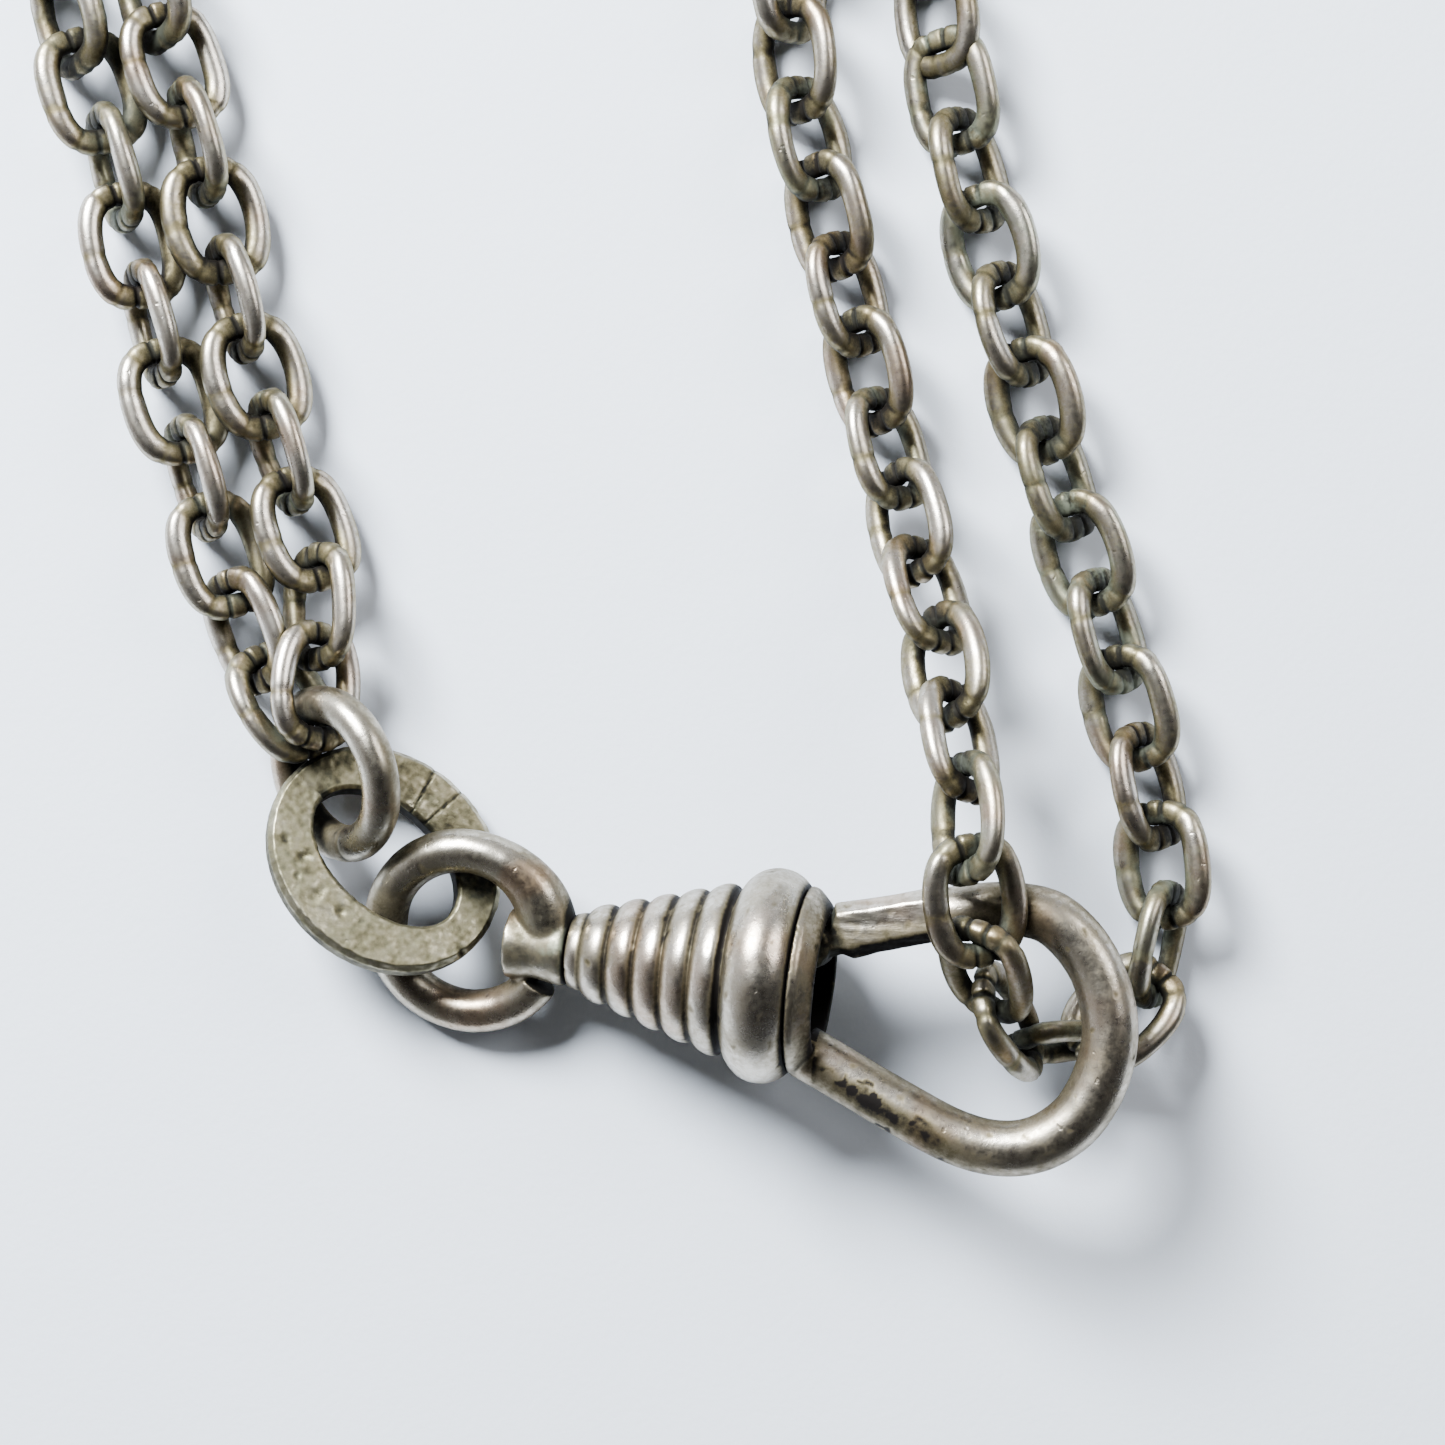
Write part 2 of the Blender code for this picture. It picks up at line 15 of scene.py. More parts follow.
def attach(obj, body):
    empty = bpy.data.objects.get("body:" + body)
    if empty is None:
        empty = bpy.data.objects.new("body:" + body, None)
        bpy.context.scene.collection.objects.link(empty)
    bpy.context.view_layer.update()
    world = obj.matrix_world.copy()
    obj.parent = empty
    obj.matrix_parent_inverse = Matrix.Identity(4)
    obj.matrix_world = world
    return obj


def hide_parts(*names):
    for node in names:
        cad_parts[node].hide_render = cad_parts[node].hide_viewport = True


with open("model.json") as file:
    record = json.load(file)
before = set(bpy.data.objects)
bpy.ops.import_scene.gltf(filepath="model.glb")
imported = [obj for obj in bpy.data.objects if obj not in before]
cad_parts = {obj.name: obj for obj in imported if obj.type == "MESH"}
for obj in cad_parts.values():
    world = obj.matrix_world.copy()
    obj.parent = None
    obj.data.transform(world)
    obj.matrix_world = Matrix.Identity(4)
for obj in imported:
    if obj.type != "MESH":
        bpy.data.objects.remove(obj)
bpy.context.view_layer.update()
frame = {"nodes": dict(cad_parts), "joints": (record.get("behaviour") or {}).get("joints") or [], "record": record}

MM = 0.001
SEED = 7

# ---------------------------------------------------------------- driving dimensions, in millimetres

# Camera: straight above this point of the paper.
CAMERA_AT = (3.47, -5.12, 110.0)
CAMERA_ANGLE = 26.42

# Chain link: a broad oval of round wire, flattened a little, with grooves filed across its ends.
LINK_HALF_LONG = 1.86
LINK_HALF_WIDE = 1.39
LINK_SQUARENESS = 2.85
LINK_PITCH = 2.83
# Half breadths of its wire, in the link's plane and square to it, along its sides and at its ends.
SIDE_WIRE = (0.455, 0.385)
END_WIRE = (0.430, 0.350)
# The end zone reaches this far along the line and fades out over this much.
END_ZONE = 1.15
END_FADE = 0.16
END_FLATNESS = 0.30
# Grooves on each side of an end's middle: distance from it, width and depth. Stored links, which
# have fewer points, have this share of the depth.
LINK_GROOVES = ((0.31, 0.080, 0.105), (0.92, 0.10, 0.035))
PLAIN_LINK_GROOVES = 0.6
LINK_SEAM = 0.03
# The points of the centre line are closer together within this distance of an end.
CLOSE_POINTS = 1.35
# The link beside the opening gate is this much of the others' width.
GATE_ROOM = 0.95

# Stored chain: two lengths side by side, wound into a coil of two layers.
LAYOUT_SHIFT = Vector((0.42, 0.03, 0.02))
COIL_CENTRE = Vector((-5.5, 52.0, 0.0))
COIL_ENTRY = math.radians(203.0)
COIL_MEAN_RADIUS = 23.9
COIL_LANE = 1.4
COIL_PER_TURN = 5.6
COIL_TURNS = 2.814
COIL_POINTS_PER_TURN = 18
# The climb from the lower layer to the upper one: its start and its length, in turns. 0 is innermost.
COIL_CLIMB = (-0.35, 0.45)
LOW_LAYER = 1.40
HIGH_LAYER = 4.10
STORED_ROLL = 45
STORED_SEED = 25
LAST_PIVOTS = {
    "a": (-19.58, 18.48, 1.68), "b": (-16.66, 19.36, 1.68),
    "c": (5.40, 19.66, 1.40), "d": (10.785, 18.505, 1.42),
}
RUNS = {
    "a": ((-19.92, 19.54, 1.60), (-21.20, 23.60, 1.42), (-22.75, 28.00, 1.40), (-24.10, 31.10, 1.40)),
    "b": ((-17.00, 20.45, 1.60), (-17.75, 23.00, 1.42), (-18.65, 25.50, 1.40), (-19.70, 27.90, 1.40)),
    "c": ((5.27, 20.68, 1.40), (5.55, 23.20, 1.40), (6.80, 25.80, 1.40), (8.70, 27.90, 1.45)),
    "d": ((10.56, 19.66, 1.42), (10.35, 23.60, 1.45), (11.40, 27.40, 2.15), (13.10, 31.10, 3.25)),
}

# Barrel: the distance along the snap's axis, and radii.
BARREL_END_RADIUS = 1.27
BARREL_BORE = 0.60
RIB_COUNT = 5
RIB_FIRST_AT = 1.00
RIB_SPACING = 1.04
RIB_FIRST_RADIUS = 1.72
RIB_GROWTH = 0.31
RIB_HEIGHT = 0.32
BEAD_AT = 7.05
BEAD_RADIUS = 3.72
BEAD_ROUND = 1.28
BARREL_LENGTH = 8.08
CAVITY_RADIUS = 2.62

# Hook: its base ring and the centre line of its wire, along the axis and across it.
HOOK_RING_END = 8.98
HOOK_RING_OUTER = 3.26
HOOK_RING_INNER = 2.36
HOOK_SPIGOT = 2.56
HOOK_SPIGOT_START = 7.00
HOOK_WIRE = 1.86
HOOK_LOOP_CENTRE = (14.6, -0.9)
HOOK_ARM = (9.0, 16.0)
HOOK_PITS_AT = 11.1
HOOK_ROUTE = (
    (8.45, -2.40), (9.80, -2.97), (11.90, -3.87), (13.90, -4.62), (15.50, -4.83),
    (16.85, -4.50), (17.98, -3.57), (18.62, -2.30), (18.85, -0.90), (18.70, 0.30),
    (18.15, 1.60), (17.30, 2.60), (16.20, 3.24), (14.60, 3.25), (12.72, 2.80),
)

# Gate: a filed bar on a knuckle.
GATE_PIVOT = (8.35, 1.20)
GATE_KNUCKLE = 0.78
GATE_WIDTH = 1.90
GATE_HEIGHT = 2.00
GATE_START = (9.52, 1.88)
GATE_END = (12.45, 2.78)
PIN_RADIUS = 0.30

# Swivel eye and its post.
EYE_CENTRE = (-3.80, 0.20)
EYE_RADIUS = 3.00
EYE_WIRE = 1.54
EYE_ARC = (27.0, 330.0)
EYE_ROOT = ((-0.80, 0.10), (-0.86, 0.85))
EYE_ROLL = 18.0
# The wire is thicker near its root: by this share, at this point of its line, over this many points.
EYE_SWELL = (0.30, 9, 11.0)
POST_RADIUS = 1.30
POST_LENGTH = 2.30
SHANK_RADIUS = 0.52
SHANK_END = 1.75
HEAD_RADIUS = 0.95
HEAD_THICKNESS = 0.35

# Joining rings: half lengths and half widths of the flat one, mean radius and wire of the round one.
FLAT_RING_OUTER = (4.40, 3.75)
FLAT_RING_INNER = (3.00, 1.85)
FLAT_RING_THICKNESS = 0.94
JUMP_RING_RADIUS = 2.52
JUMP_RING_WIRE = 1.31

# Punched marks on the flat ring's face, plain dimples that say nothing: their turn in degrees, share
# of the way across, and half sizes across and around the ring. Then the turns of its seams and nicks.
BAND_MARKS = (
    (41, 0.66, 0.22, 0.20), (54, 0.36, 0.30, 0.16), (63, 0.62, 0.14, 0.14),
    (77, 0.50, 0.34, 0.22), (93, 0.40, 0.16, 0.24),
)
BAND_SEAMS = (266.0, 282.0)
BAND_NICK = 170.0
BAND_CHIP = 357.0
HOOP_SEAM = 200.0

# Tarnish and painted shade share one number on every point: 0 is bright and about 1 is black. This much is black
# all over, whatever the patches on it do; it paints shade black inside the hook's ring and on the flat ring's hole
# wall.
BLACK_SHADE = 1.35
# Old silver is darker where it faces sideways or down: painted shade on sides and undersides, together with the
# wear that rubs only what faces up.
SIDE_SHADE_AND_TARNISH = 0.46
# The two strands that pass through the hook are dirtier than the two on the ring.
DARKER_STRANDS = 0.15

# The window's side of the room, as its X and Y.
WINDOW_WAY = (-0.62, 0.60)

JOINTS = {joint["name"]: joint for joint in frame["joints"]}
# Turns a shape made along X so that it stands along Z.
UPRIGHT = np.array([[0, 0, 1], [0, 1, 0], [-1, 0, 0]], float)


# ---------------------------------------------------------------- materials


class Nodes:
    """Short names for the node trees below."""

    def __init__(self, tree):
        self.tree = tree

    def add(self, kind, **settings):
        node = self.tree.nodes.new("ShaderNode" + kind)
        for key, value in settings.items():
            setattr(node, key, value)
        return node

    def link(self, source, target):
        self.tree.links.new(source, target)

    def feed(self, socket, value):
        if isinstance(value, bpy.types.NodeSocket):
            self.link(value, socket)
        else:
            socket.default_value = value

    def maths(self, operation, *values, clamp=False):
        node = self.add("Math", operation=operation, use_clamp=clamp)
        for socket, value in zip(node.inputs, values):
            self.feed(socket, value)
        return node.outputs[0]

    def swing(self, value, amount):
        """A value from 0 to 1 as a change to either side of nothing."""
        return self.maths("MULTIPLY", self.maths("SUBTRACT", value, 0.5), amount)

    def bump(self, shader, height, strength, distance):
        """Bumps of this height in millimetres."""
        node = self.add("Bump")
        node.inputs["Strength"].default_value = strength
        node.inputs["Distance"].default_value = distance * MM
        self.link(height, node.inputs["Height"])
        self.link(node.outputs["Normal"], shader.inputs["Normal"])

    def place(self, scale, turn=(0.0, 0.0, 0.0)):
        """Coordinates on the piece, in millimetres times this scale."""
        where = self.add("TexCoord")
        mapping = self.add("Mapping")
        mapping.inputs["Scale"].default_value = [part / MM for part in scale]
        mapping.inputs["Rotation"].default_value = turn
        self.link(where.outputs["Object"], mapping.inputs["Vector"])
        return mapping.outputs["Vector"]

    def noise(self, scale, detail=3.0, roughness=0.55, turn=(0.0, 0.0, 0.0), offset=0.0):
        node = self.add("TexNoise", noise_dimensions="4D")
        node.inputs["Scale"].default_value = 1.0
        node.inputs["Detail"].default_value = detail
        node.inputs["Roughness"].default_value = roughness
        node.inputs["W"].default_value = offset
        scales = scale if isinstance(scale, tuple) else (scale,) * 3
        self.link(self.place(scales, turn), node.inputs["Vector"])
        return node.outputs["Fac"]

    def range(self, value, low, high, to_low=0.0, to_high=1.0):
        node = self.add("MapRange", interpolation_type="SMOOTHSTEP")
        limits = {"From Min": low, "From Max": high, "To Min": to_low, "To Max": to_high}
        for key, number in limits.items():
            node.inputs[key].default_value = number
        self.feed(node.inputs["Value"], value)
        return node.outputs["Result"]

    def attribute(self, name):
        return self.add("Attribute", attribute_name=name).outputs["Fac"]

    def ramp(self, value, stops):
        node = self.add("ValToRGB")
        elements = node.color_ramp.elements
        while len(elements) < len(stops):
            elements.new(0.5)
        for element, (position, colour) in zip(elements, stops):
            element.position = position
            element.color = (*colour, 1.0)
        self.feed(node.inputs["Fac"], value)
        return node.outputs["Color"]

    def mix(self, factor, one, two, blend="MIX"):
        node = self.add("Mix", data_type="RGBA", blend_type=blend)
        self.feed(node.inputs["Factor"], factor)
        for socket, value in ((node.inputs["A"], one), (node.inputs["B"], two)):
            self.feed(socket, value if isinstance(value, bpy.types.NodeSocket) else (*value, 1.0))
        return node.outputs["Result"]


def new_material(name):
    look = bpy.data.materials.new(name)
    look.use_nodes = True
    return look, Nodes(look.node_tree), look.node_tree.nodes["Principled BSDF"]


def silver(name, tones, patch=0.45, tarnish_bias=0.0, blush=(0.56, 0.43, 0.36), blush_share=0.5,
           grain=(1.5, 1.5, 14.0), grain_turn=(0.0, 0.0, 0.0), grain_depth=0.35, roughness=0.27):
    """Old silver: tarnished patches, painted shade in recesses and gaps, and bright worn high parts."""
    look, n, shader = new_material(name)
    patches = n.noise(patch, 5.0, 0.6)
    mottle = n.noise(3.5, 4.0, 0.65, offset=4.0)
    # Ambient occlusion darkens recesses and the gaps between touching parts: painted shade, together with the real
    # patina in hollows.
    occlusion_shade = n.add("AmbientOcclusion", samples=8)
    occlusion_shade.inputs["Distance"].default_value = 1.1 * MM
    edge = n.range(n.add("NewGeometry").outputs["Pointiness"], 0.47, 0.56)
    shade = n.maths("MULTIPLY", n.maths("SUBTRACT", 1.0, occlusion_shade.outputs["AO"]), 0.95)
    level = n.maths("ADD", shade, n.maths("MULTIPLY", n.attribute("tarnish_and_shade"), 0.72))
    grains = n.noise(7.0, 3.0, 0.7, offset=15.0)
    for pattern, amount in ((patches, 0.75), (mottle, 0.42), (grains, 0.34), (edge, -0.16)):
        level = n.maths("ADD", level, n.swing(pattern, amount))
    level = n.maths("ADD", level, tarnish_bias, clamp=True)
    colour = n.ramp(level, tones)
    blushes = n.range(n.noise(0.33, 3.0, offset=9.0), 0.50, 0.66, 0.0, blush_share)
    colour = n.mix(blushes, colour, n.mix(1.0, colour, [c * 1.55 for c in blush], "MULTIPLY"))
    crusts = n.range(n.noise(0.9, 4.0, 0.65, offset=18.0), 0.44, 0.60, 0.12, 1.0)
    green = n.maths("MULTIPLY", n.attribute("verdigris"), crusts)
    colour = n.mix(green, colour, (0.235, 0.255, 0.185))
    n.link(colour, shader.inputs["Base Color"])
    n.link(n.range(level, 0.25, 0.70, 1.0, 0.80), shader.inputs["Metallic"])
    dulling = n.range(level, 0.05, 0.95, roughness, 0.72)
    n.link(n.maths("ADD", dulling, n.swing(mottle, 0.22), clamp=True), shader.inputs["Roughness"])
    scratches = n.noise(grain, 3.0, 0.7, grain_turn, offset=2.0)
    fine = n.noise(11.0, 3.0, 0.7, offset=6.0)
    pits = n.range(n.noise(2.6, 2.0, 0.5, offset=12.0), 0.24, 0.34, 0.0, 1.0)
    height = n.maths("ADD", n.maths("MULTIPLY", scratches, grain_depth), n.maths("MULTIPLY", fine, 0.30))
    height = n.maths("ADD", height, n.maths("MULTIPLY", pits, 0.55))
    n.bump(shader, height, 0.55, 0.03)
    return look


# Colours of old silver from its brightest to its blackest, each with its level of tarnish.
SNAP_TONES = (
    (0.00, (0.57, 0.525, 0.455)), (0.22, (0.36, 0.32, 0.255)), (0.42, (0.20, 0.170, 0.115)),
    (0.62, (0.082, 0.068, 0.037)), (0.84, (0.008, 0.006, 0.005)),
)
RING_TONES = (
    (0.00, (0.49, 0.450, 0.375)), (0.24, (0.315, 0.28, 0.215)), (0.45, (0.175, 0.149, 0.098)),
    (0.66, (0.075, 0.062, 0.034)), (0.87, (0.008, 0.007, 0.005)),
)
BAND_TONES = (
    (0.00, (0.37, 0.340, 0.250)), (0.26, (0.215, 0.195, 0.127)), (0.48, (0.123, 0.110, 0.062)),
    (0.70, (0.043, 0.037, 0.019)), (0.90, (0.007, 0.006, 0.004)),
)
CHAIN_TONES = (
    (0.00, (0.56, 0.515, 0.45)), (0.20, (0.34, 0.298, 0.24)), (0.38, (0.205, 0.172, 0.096)),
    (0.57, (0.080, 0.065, 0.030)), (0.77, (0.007, 0.005, 0.003)),
)


def steel(name):
    """Dull drawn spring steel with brown specks."""
    look, n, shader = new_material(name)
    specks = n.noise(5.0, 4.0, 0.6)
    n.link(n.ramp(specks, ((0.35, (0.34, 0.33, 0.31)), (0.62, (0.16, 0.12, 0.085)))),
           shader.inputs["Base Color"])
    n.link(n.range(specks, 0.3, 0.7, 0.34, 0.6), shader.inputs["Roughness"])
    shader.inputs["Metallic"].default_value = 1.0
    n.bump(shader, n.noise((2.0, 2.0, 16.0), 3.0, 0.7), 0.4, 0.02)
    return look


def paper(name):
    """Smooth white paper with a faint tooth."""
    look, n, shader = new_material(name)
    n.link(n.ramp(n.noise(0.02, 3.0), ((0.3, (0.755, 0.805, 0.885)), (0.7, (0.785, 0.832, 0.905)))),
           shader.inputs["Base Color"])
    shader.inputs["Roughness"].default_value = 0.85
    shader.inputs["Specular IOR Level"].default_value = 0.25
    n.bump(shader, n.noise(3.2, 4.0, 0.6), 0.18, 0.08)
    return look


# ---------------------------------------------------------------- mesh helpers


def curve_through(points, steps):
    """A Catmull-Rom curve through the points, with this many steps between each two."""
    spots = [Vector(point) for point in points]
    ends = [spots[0] * 2 - spots[1]] + spots + [spots[-1] * 2 - spots[-2]]
    line = []
    for a, b, c, d in zip(ends, ends[1:], ends[2:], ends[3:]):
        for k in range(steps):
            t = k / steps
            line.append((b * 2 + (c - a) * t + (a * 2 - b * 5 + c * 4 - d) * t * t
                         + (b * 3 - a - c * 3 + d) * t ** 3) / 2)
    return line + [spots[-1]]


def arc(centre, radius, start, end, steps):
    """Points (along, across) on an arc, with its angles in degrees and both ends included."""
    turns = [math.radians(start + (end - start) * k / steps) for k in range(steps + 1)]
    return [(centre[0] + radius * math.cos(t), centre[1] + radius * math.sin(t)) for t in turns]


def round_section(radius, sides):
    return [(radius * math.cos(t), radius * math.sin(t)) for t in np.arange(sides) * math.tau / sides]


def between(one, two, share):
    """The point this share of the way from one point to another."""
    return tuple(a + (b - a) * share for a, b in zip(one, two))


def around_outline(corners):
    """Each corner of a closed outline with the next one."""
    return zip(corners, corners[1:] + corners[:1])


def run_along(spots):
    """Each spot's distance from the first, along the line."""
    return np.concatenate([[0], np.cumsum(np.linalg.norm(np.diff(spots, axis=0), axis=1))])


def grid_faces(rows, columns, closed):
    """Quads between rows of points that each close on themselves."""
    faces = []
    for i in range(rows if closed else rows - 1):
        for j in range(columns):
            after = (j + 1) % columns
            here, below = i * columns, (i + 1) % rows * columns
            faces.append((here + j, below + j, below + after, here + after))
    return faces


def swept(centres, sections, up, closed=False):
    """A skin through sections of (side, top) points square to a line of centres."""
    line = np.array([tuple(c) for c in centres], float)
    ahead = np.roll(line, -1, axis=0)
    behind = np.roll(line, 1, axis=0)
    if not closed:
        ahead[-1] = line[-1]
        behind[0] = line[0]
    along = ahead - behind
    along /= np.linalg.norm(along, axis=1)[:, None]
    side = np.cross(along, np.array(up, float))
    side /= np.linalg.norm(side, axis=1)[:, None]
    top = np.cross(side, along)
    outline = np.array(sections, float)
    points = line[:, None] + side[:, None] * outline[:, :, :1] + top[:, None] * outline[:, :, 1:]
    rows, columns = outline.shape[:2]
    faces = grid_faces(rows, columns, closed)
    if not closed:
        faces.append(tuple(range(columns)))
        faces.append(tuple(reversed(range((rows - 1) * columns, rows * columns))))
    return points.reshape(-1, 3), faces


def turned(profile, segments, closed=True):
    """A profile of (along, radius) points turned about the X axis, capped unless it is closed."""
    points = []
    for x, r in profile:
        for k in range(segments):
            turn = math.tau * k / segments
            points.append((x, r * math.cos(turn), r * math.sin(turn)))
    faces = [tuple(reversed(face)) for face in grid_faces(len(profile), segments, closed)]
    if not closed:
        last = (len(profile) - 1) * segments
        faces.append(tuple(reversed(range(segments))))
        faces.append(tuple(range(last, last + segments)))
    return np.array(points), faces


def standing(shape, at):
    """A turned shape with its axis along Z, at this point."""
    return shape[0] @ UPRIGHT + np.array(at), shape[1]


def baked(holder):
    """The mesh of an object with its modifiers applied."""
    return bpy.data.meshes.new_from_object(holder.evaluated_get(bpy.context.evaluated_depsgraph_get()))


def fused(parts, voxel, smoothing):
    """One skin round overlapping shapes, softened where they meet."""
    mesh = bpy.data.meshes.new("fused")
    points, faces = [], []
    for part_points, part_faces in parts:
        start = len(points)
        points += [tuple(p) for p in part_points]
        faces += [tuple(start + k for k in face) for face in part_faces]
    mesh.from_pydata(points, [], faces)
    holder = bpy.data.objects.new("fused", mesh)
    bpy.context.scene.collection.objects.link(holder)
    remesh = holder.modifiers.new("remesh", "REMESH")
    remesh.mode = "VOXEL"
    remesh.voxel_size = voxel
    soften = holder.modifiers.new("soften", "SMOOTH")
    soften.factor = 0.5
    soften.iterations = smoothing
    made = baked(holder)
    bpy.data.objects.remove(holder, do_unlink=True)
    spots = [tuple(v.co) for v in made.vertices]
    rings = [tuple(p.vertices) for p in made.polygons]
    bpy.data.meshes.remove(made)
    return spots, rings


def rough(point, size, seed=0.0):
    """Smooth noise from -1 to 1 whose bumps are about this size."""
    shift = Vector((seed, -seed, seed * 0.5))
    return noise.noise(point / size + shift)


def dome(distance, width):
    """1 at no distance, falling smoothly to nothing at about twice the width."""
    return math.exp(-(distance / width) ** 2)


def step_down(distance, width):
    """1 well before this point, falling smoothly to 0 well after it."""
    return 1 / (1 + math.exp(distance / width))


def paint(mesh, tarnish_and_shade, verdigris):
    """The two attributes that the silver reads, one number to a point."""
    # The first attribute holds tarnished tones together with painted shade and painted highlights.
    for key, values in (("tarnish_and_shade", tarnish_and_shade), ("verdigris", verdigris)):
        mesh.attributes.new(key, "FLOAT", "POINT").data.foreach_set("value", values)


def finish_mesh(mesh, look):
    mesh.materials.append(look)
    mesh.transform(Matrix.Scale(MM, 4))


def put(name, mesh, body, slot, *nodes):
    """A piece of this mesh that rides on a body and stands for CAD nodes."""
    piece = bpy.data.objects.new(name, mesh)
    bpy.context.scene.collection.objects.link(piece)
    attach(piece, body)
    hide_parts(*nodes)
    return piece


def detailed(name, shape, place, look, detail, cut=None):
    """A mesh in the model's frame. detail(point, normal) gives push, tarnish and verdigris."""
    mesh = bpy.data.meshes.new(name)
    mesh.from_pydata([tuple(p) for p in shape[0]], [], shape[1])
    points = [v.co.copy() for v in mesh.vertices]
    normals = [v.normal.copy() for v in mesh.vertices]
    values = [detail(point, normal) for point, normal in zip(points, normals)]
    for vertex, point, normal, (push, _, _) in zip(mesh.vertices, points, normals, values):
        vertex.co = point + normal * push
    # Sides and undersides get painted shade along with their unrubbed patina.
    dark = [tarnish_and_shade + SIDE_SHADE_AND_TARNISH * (1 - max(0.0, normal.z)) ** 2
            for (_, tarnish_and_shade, _), normal in zip(values, normals)]
    paint(mesh, dark, [verdigris for _, _, verdigris in values])
    mesh.shade_smooth()
    if cut:
        mesh = cut(mesh)
    mesh.transform(place)
    finish_mesh(mesh, look)
    return mesh


def snap_frame():
    """The snap's frame in millimetres: X along its axis, Z along the gate's hinge."""
    along = -Vector(JOINTS["swivel"]["axis"]).normalized()
    hinge = -Vector(JOINTS["gate_hinge"]["axis"]).normalized()
    across = hinge.cross(along).normalized()
    made = Matrix((along, across, along.cross(across))).transposed().to_4x4()
    made.translation = Vector(JOINTS["swivel"]["pos_m"]) / MM
    return made


def node_frame(node):
    """A flat loop's frame in millimetres: X its longest way, Z square to it and upward."""
    points = np.array([tuple(v.co) for v in frame["nodes"][node].data.vertices]) / MM
    points = np.unique(np.round(points, 4), axis=0)
    centre = points.mean(axis=0)
    _, ways = np.linalg.eigh(np.cov((points - centre).T))
    longest = Vector(ways[:, 2])
    normal = Vector(ways[:, 0])
    normal = normal if normal.z > 0 else -normal
    longest = longest if longest.y > 0 else -longest
    made = Matrix((longest, normal.cross(longest), normal)).transposed().to_4x4()
    made.translation = Vector(centre)
    return made


# ---------------------------------------------------------------- chain


def link_line(steps_end, steps_side):
    """Points of the link's centre line, closer together at its ends, and their distances from an end."""
    power = 2 / LINK_SQUARENESS
    fine_steps = 1440
    dense = []
    for k in range(fine_steps):
        turn = math.tau * k / fine_steps
        cos, sin = math.cos(turn), math.sin(turn)
        dense.append((math.copysign(abs(cos) ** power, cos) * LINK_HALF_LONG,
                      math.copysign(abs(sin) ** power, sin) * LINK_HALF_WIDE))
    dense = np.array(dense + dense[:1])
    run = run_along(dense)
    half = run[-1] / 2
    near = np.linspace(-CLOSE_POINTS, CLOSE_POINTS, steps_end, endpoint=False)
    side = np.linspace(CLOSE_POINTS, half - CLOSE_POINTS, steps_side, endpoint=False)
    stations = np.mod(np.concatenate([near, side, near + half, side + half]), run[-1])
    line = np.stack([np.interp(stations, run, dense[:, k]) for k in (0, 1)], axis=1)
    return line, np.tile(np.concatenate([near, np.minimum(side, half - side)]), 2)


def link_shape(rng, steps_end, steps_side, sides, fine=True):
    """One link's points, faces and tarnish, in its own frame in millimetres."""
    line, from_end = link_line(steps_end, steps_side)
    rows = len(line)
    endness = 1 / (1 + np.exp((np.abs(from_end) - END_ZONE) / END_FADE))
    turns = np.arange(sides) * math.tau / sides
    side, top = np.cos(turns), np.sin(turns)
    plane = SIDE_WIRE[0] + (END_WIRE[0] - SIDE_WIRE[0]) * endness
    thick = SIDE_WIRE[1] + (END_WIRE[1] - SIDE_WIRE[1]) * endness
    plane = plane * (1 + rng.uniform(-0.03, 0.04))
    groove = np.zeros(rows)
    for at, width, depth in LINK_GROOVES:
        for sign in (-1, 1):
            place = sign * at + rng.uniform(-0.05, 0.05)
            groove += depth * rng.uniform(0.75, 1.2) * np.exp(-((from_end - place) / width) ** 2)
    if not fine:
        groove *= PLAIN_LINK_GROOVES
    outer = np.clip(side[None] * 0.5 + 0.75, 0.35, 1.0)
    sink = groove[:, None] * outer
    seam = LINK_SEAM * np.exp(-((np.arange(rows) - rng.uniform(0.40, 0.46) * rows) / 0.8) ** 2)
    wobble = 0.016 * np.sin(np.arange(rows)[:, None] * 0.23 + turns[None] * 2 + rng.uniform(0, 6))
    width_here = plane[:, None] - sink - seam[:, None] + wobble
    thick_here = thick[:, None] - sink * 0.9 - seam[:, None] + wobble
    power = 1 - END_FLATNESS * endness[:, None]
    flat_side = np.sign(side) * np.abs(side) ** power
    flat_top = np.sign(top) * np.abs(top) ** power
    sections = np.stack([width_here * flat_side, thick_here * flat_top], axis=2)
    bend = rng.uniform(-0.05, 0.05)
    twist = math.radians(rng.uniform(-4.0, 4.0))
    height = bend * (line[:, 0] / LINK_HALF_LONG) ** 2 + line[:, 1] * line[:, 0] * twist * 0.35
    belly = 1 + rng.uniform(0.00, 0.05) * np.exp(-(line[:, 0] / rng.uniform(0.75, 1.0)) ** 2)
    across = line[:, 1] * belly * rng.uniform(0.98, 1.02)
    centres = np.column_stack([line[:, 0], across, height])
    points, faces = swept(centres, sections, (0, 0, 1), closed=True)
    inner = np.clip(-side[None] * 0.5 - 0.1, 0.0, 1.0) * 0.60
    ridge = np.exp(-(from_end / 0.17) ** 2)
    tarnish_and_shade = 0.22 + 0.17 * endness[:, None] + inner + np.clip(groove[:, None] * 6.0, 0, 0.75)
    tarnish_and_shade = tarnish_and_shade - 0.22 * ridge[:, None] * np.clip(side[None] * 0.7 + 0.5, 0, 1)
    # The upper faces of the sides are lighter: partly painted light from above, partly wear.
    tarnish_and_shade = tarnish_and_shade - 0.14 * (1 - endness[:, None]) * np.clip(top[None], 0, 1)
    tarnish_and_shade = tarnish_and_shade + np.clip(seam[:, None] * 12, 0, 0.35) + rng.uniform(-0.09, 0.10)
    return points, faces, np.clip(tarnish_and_shade, 0, 1.2).ravel()


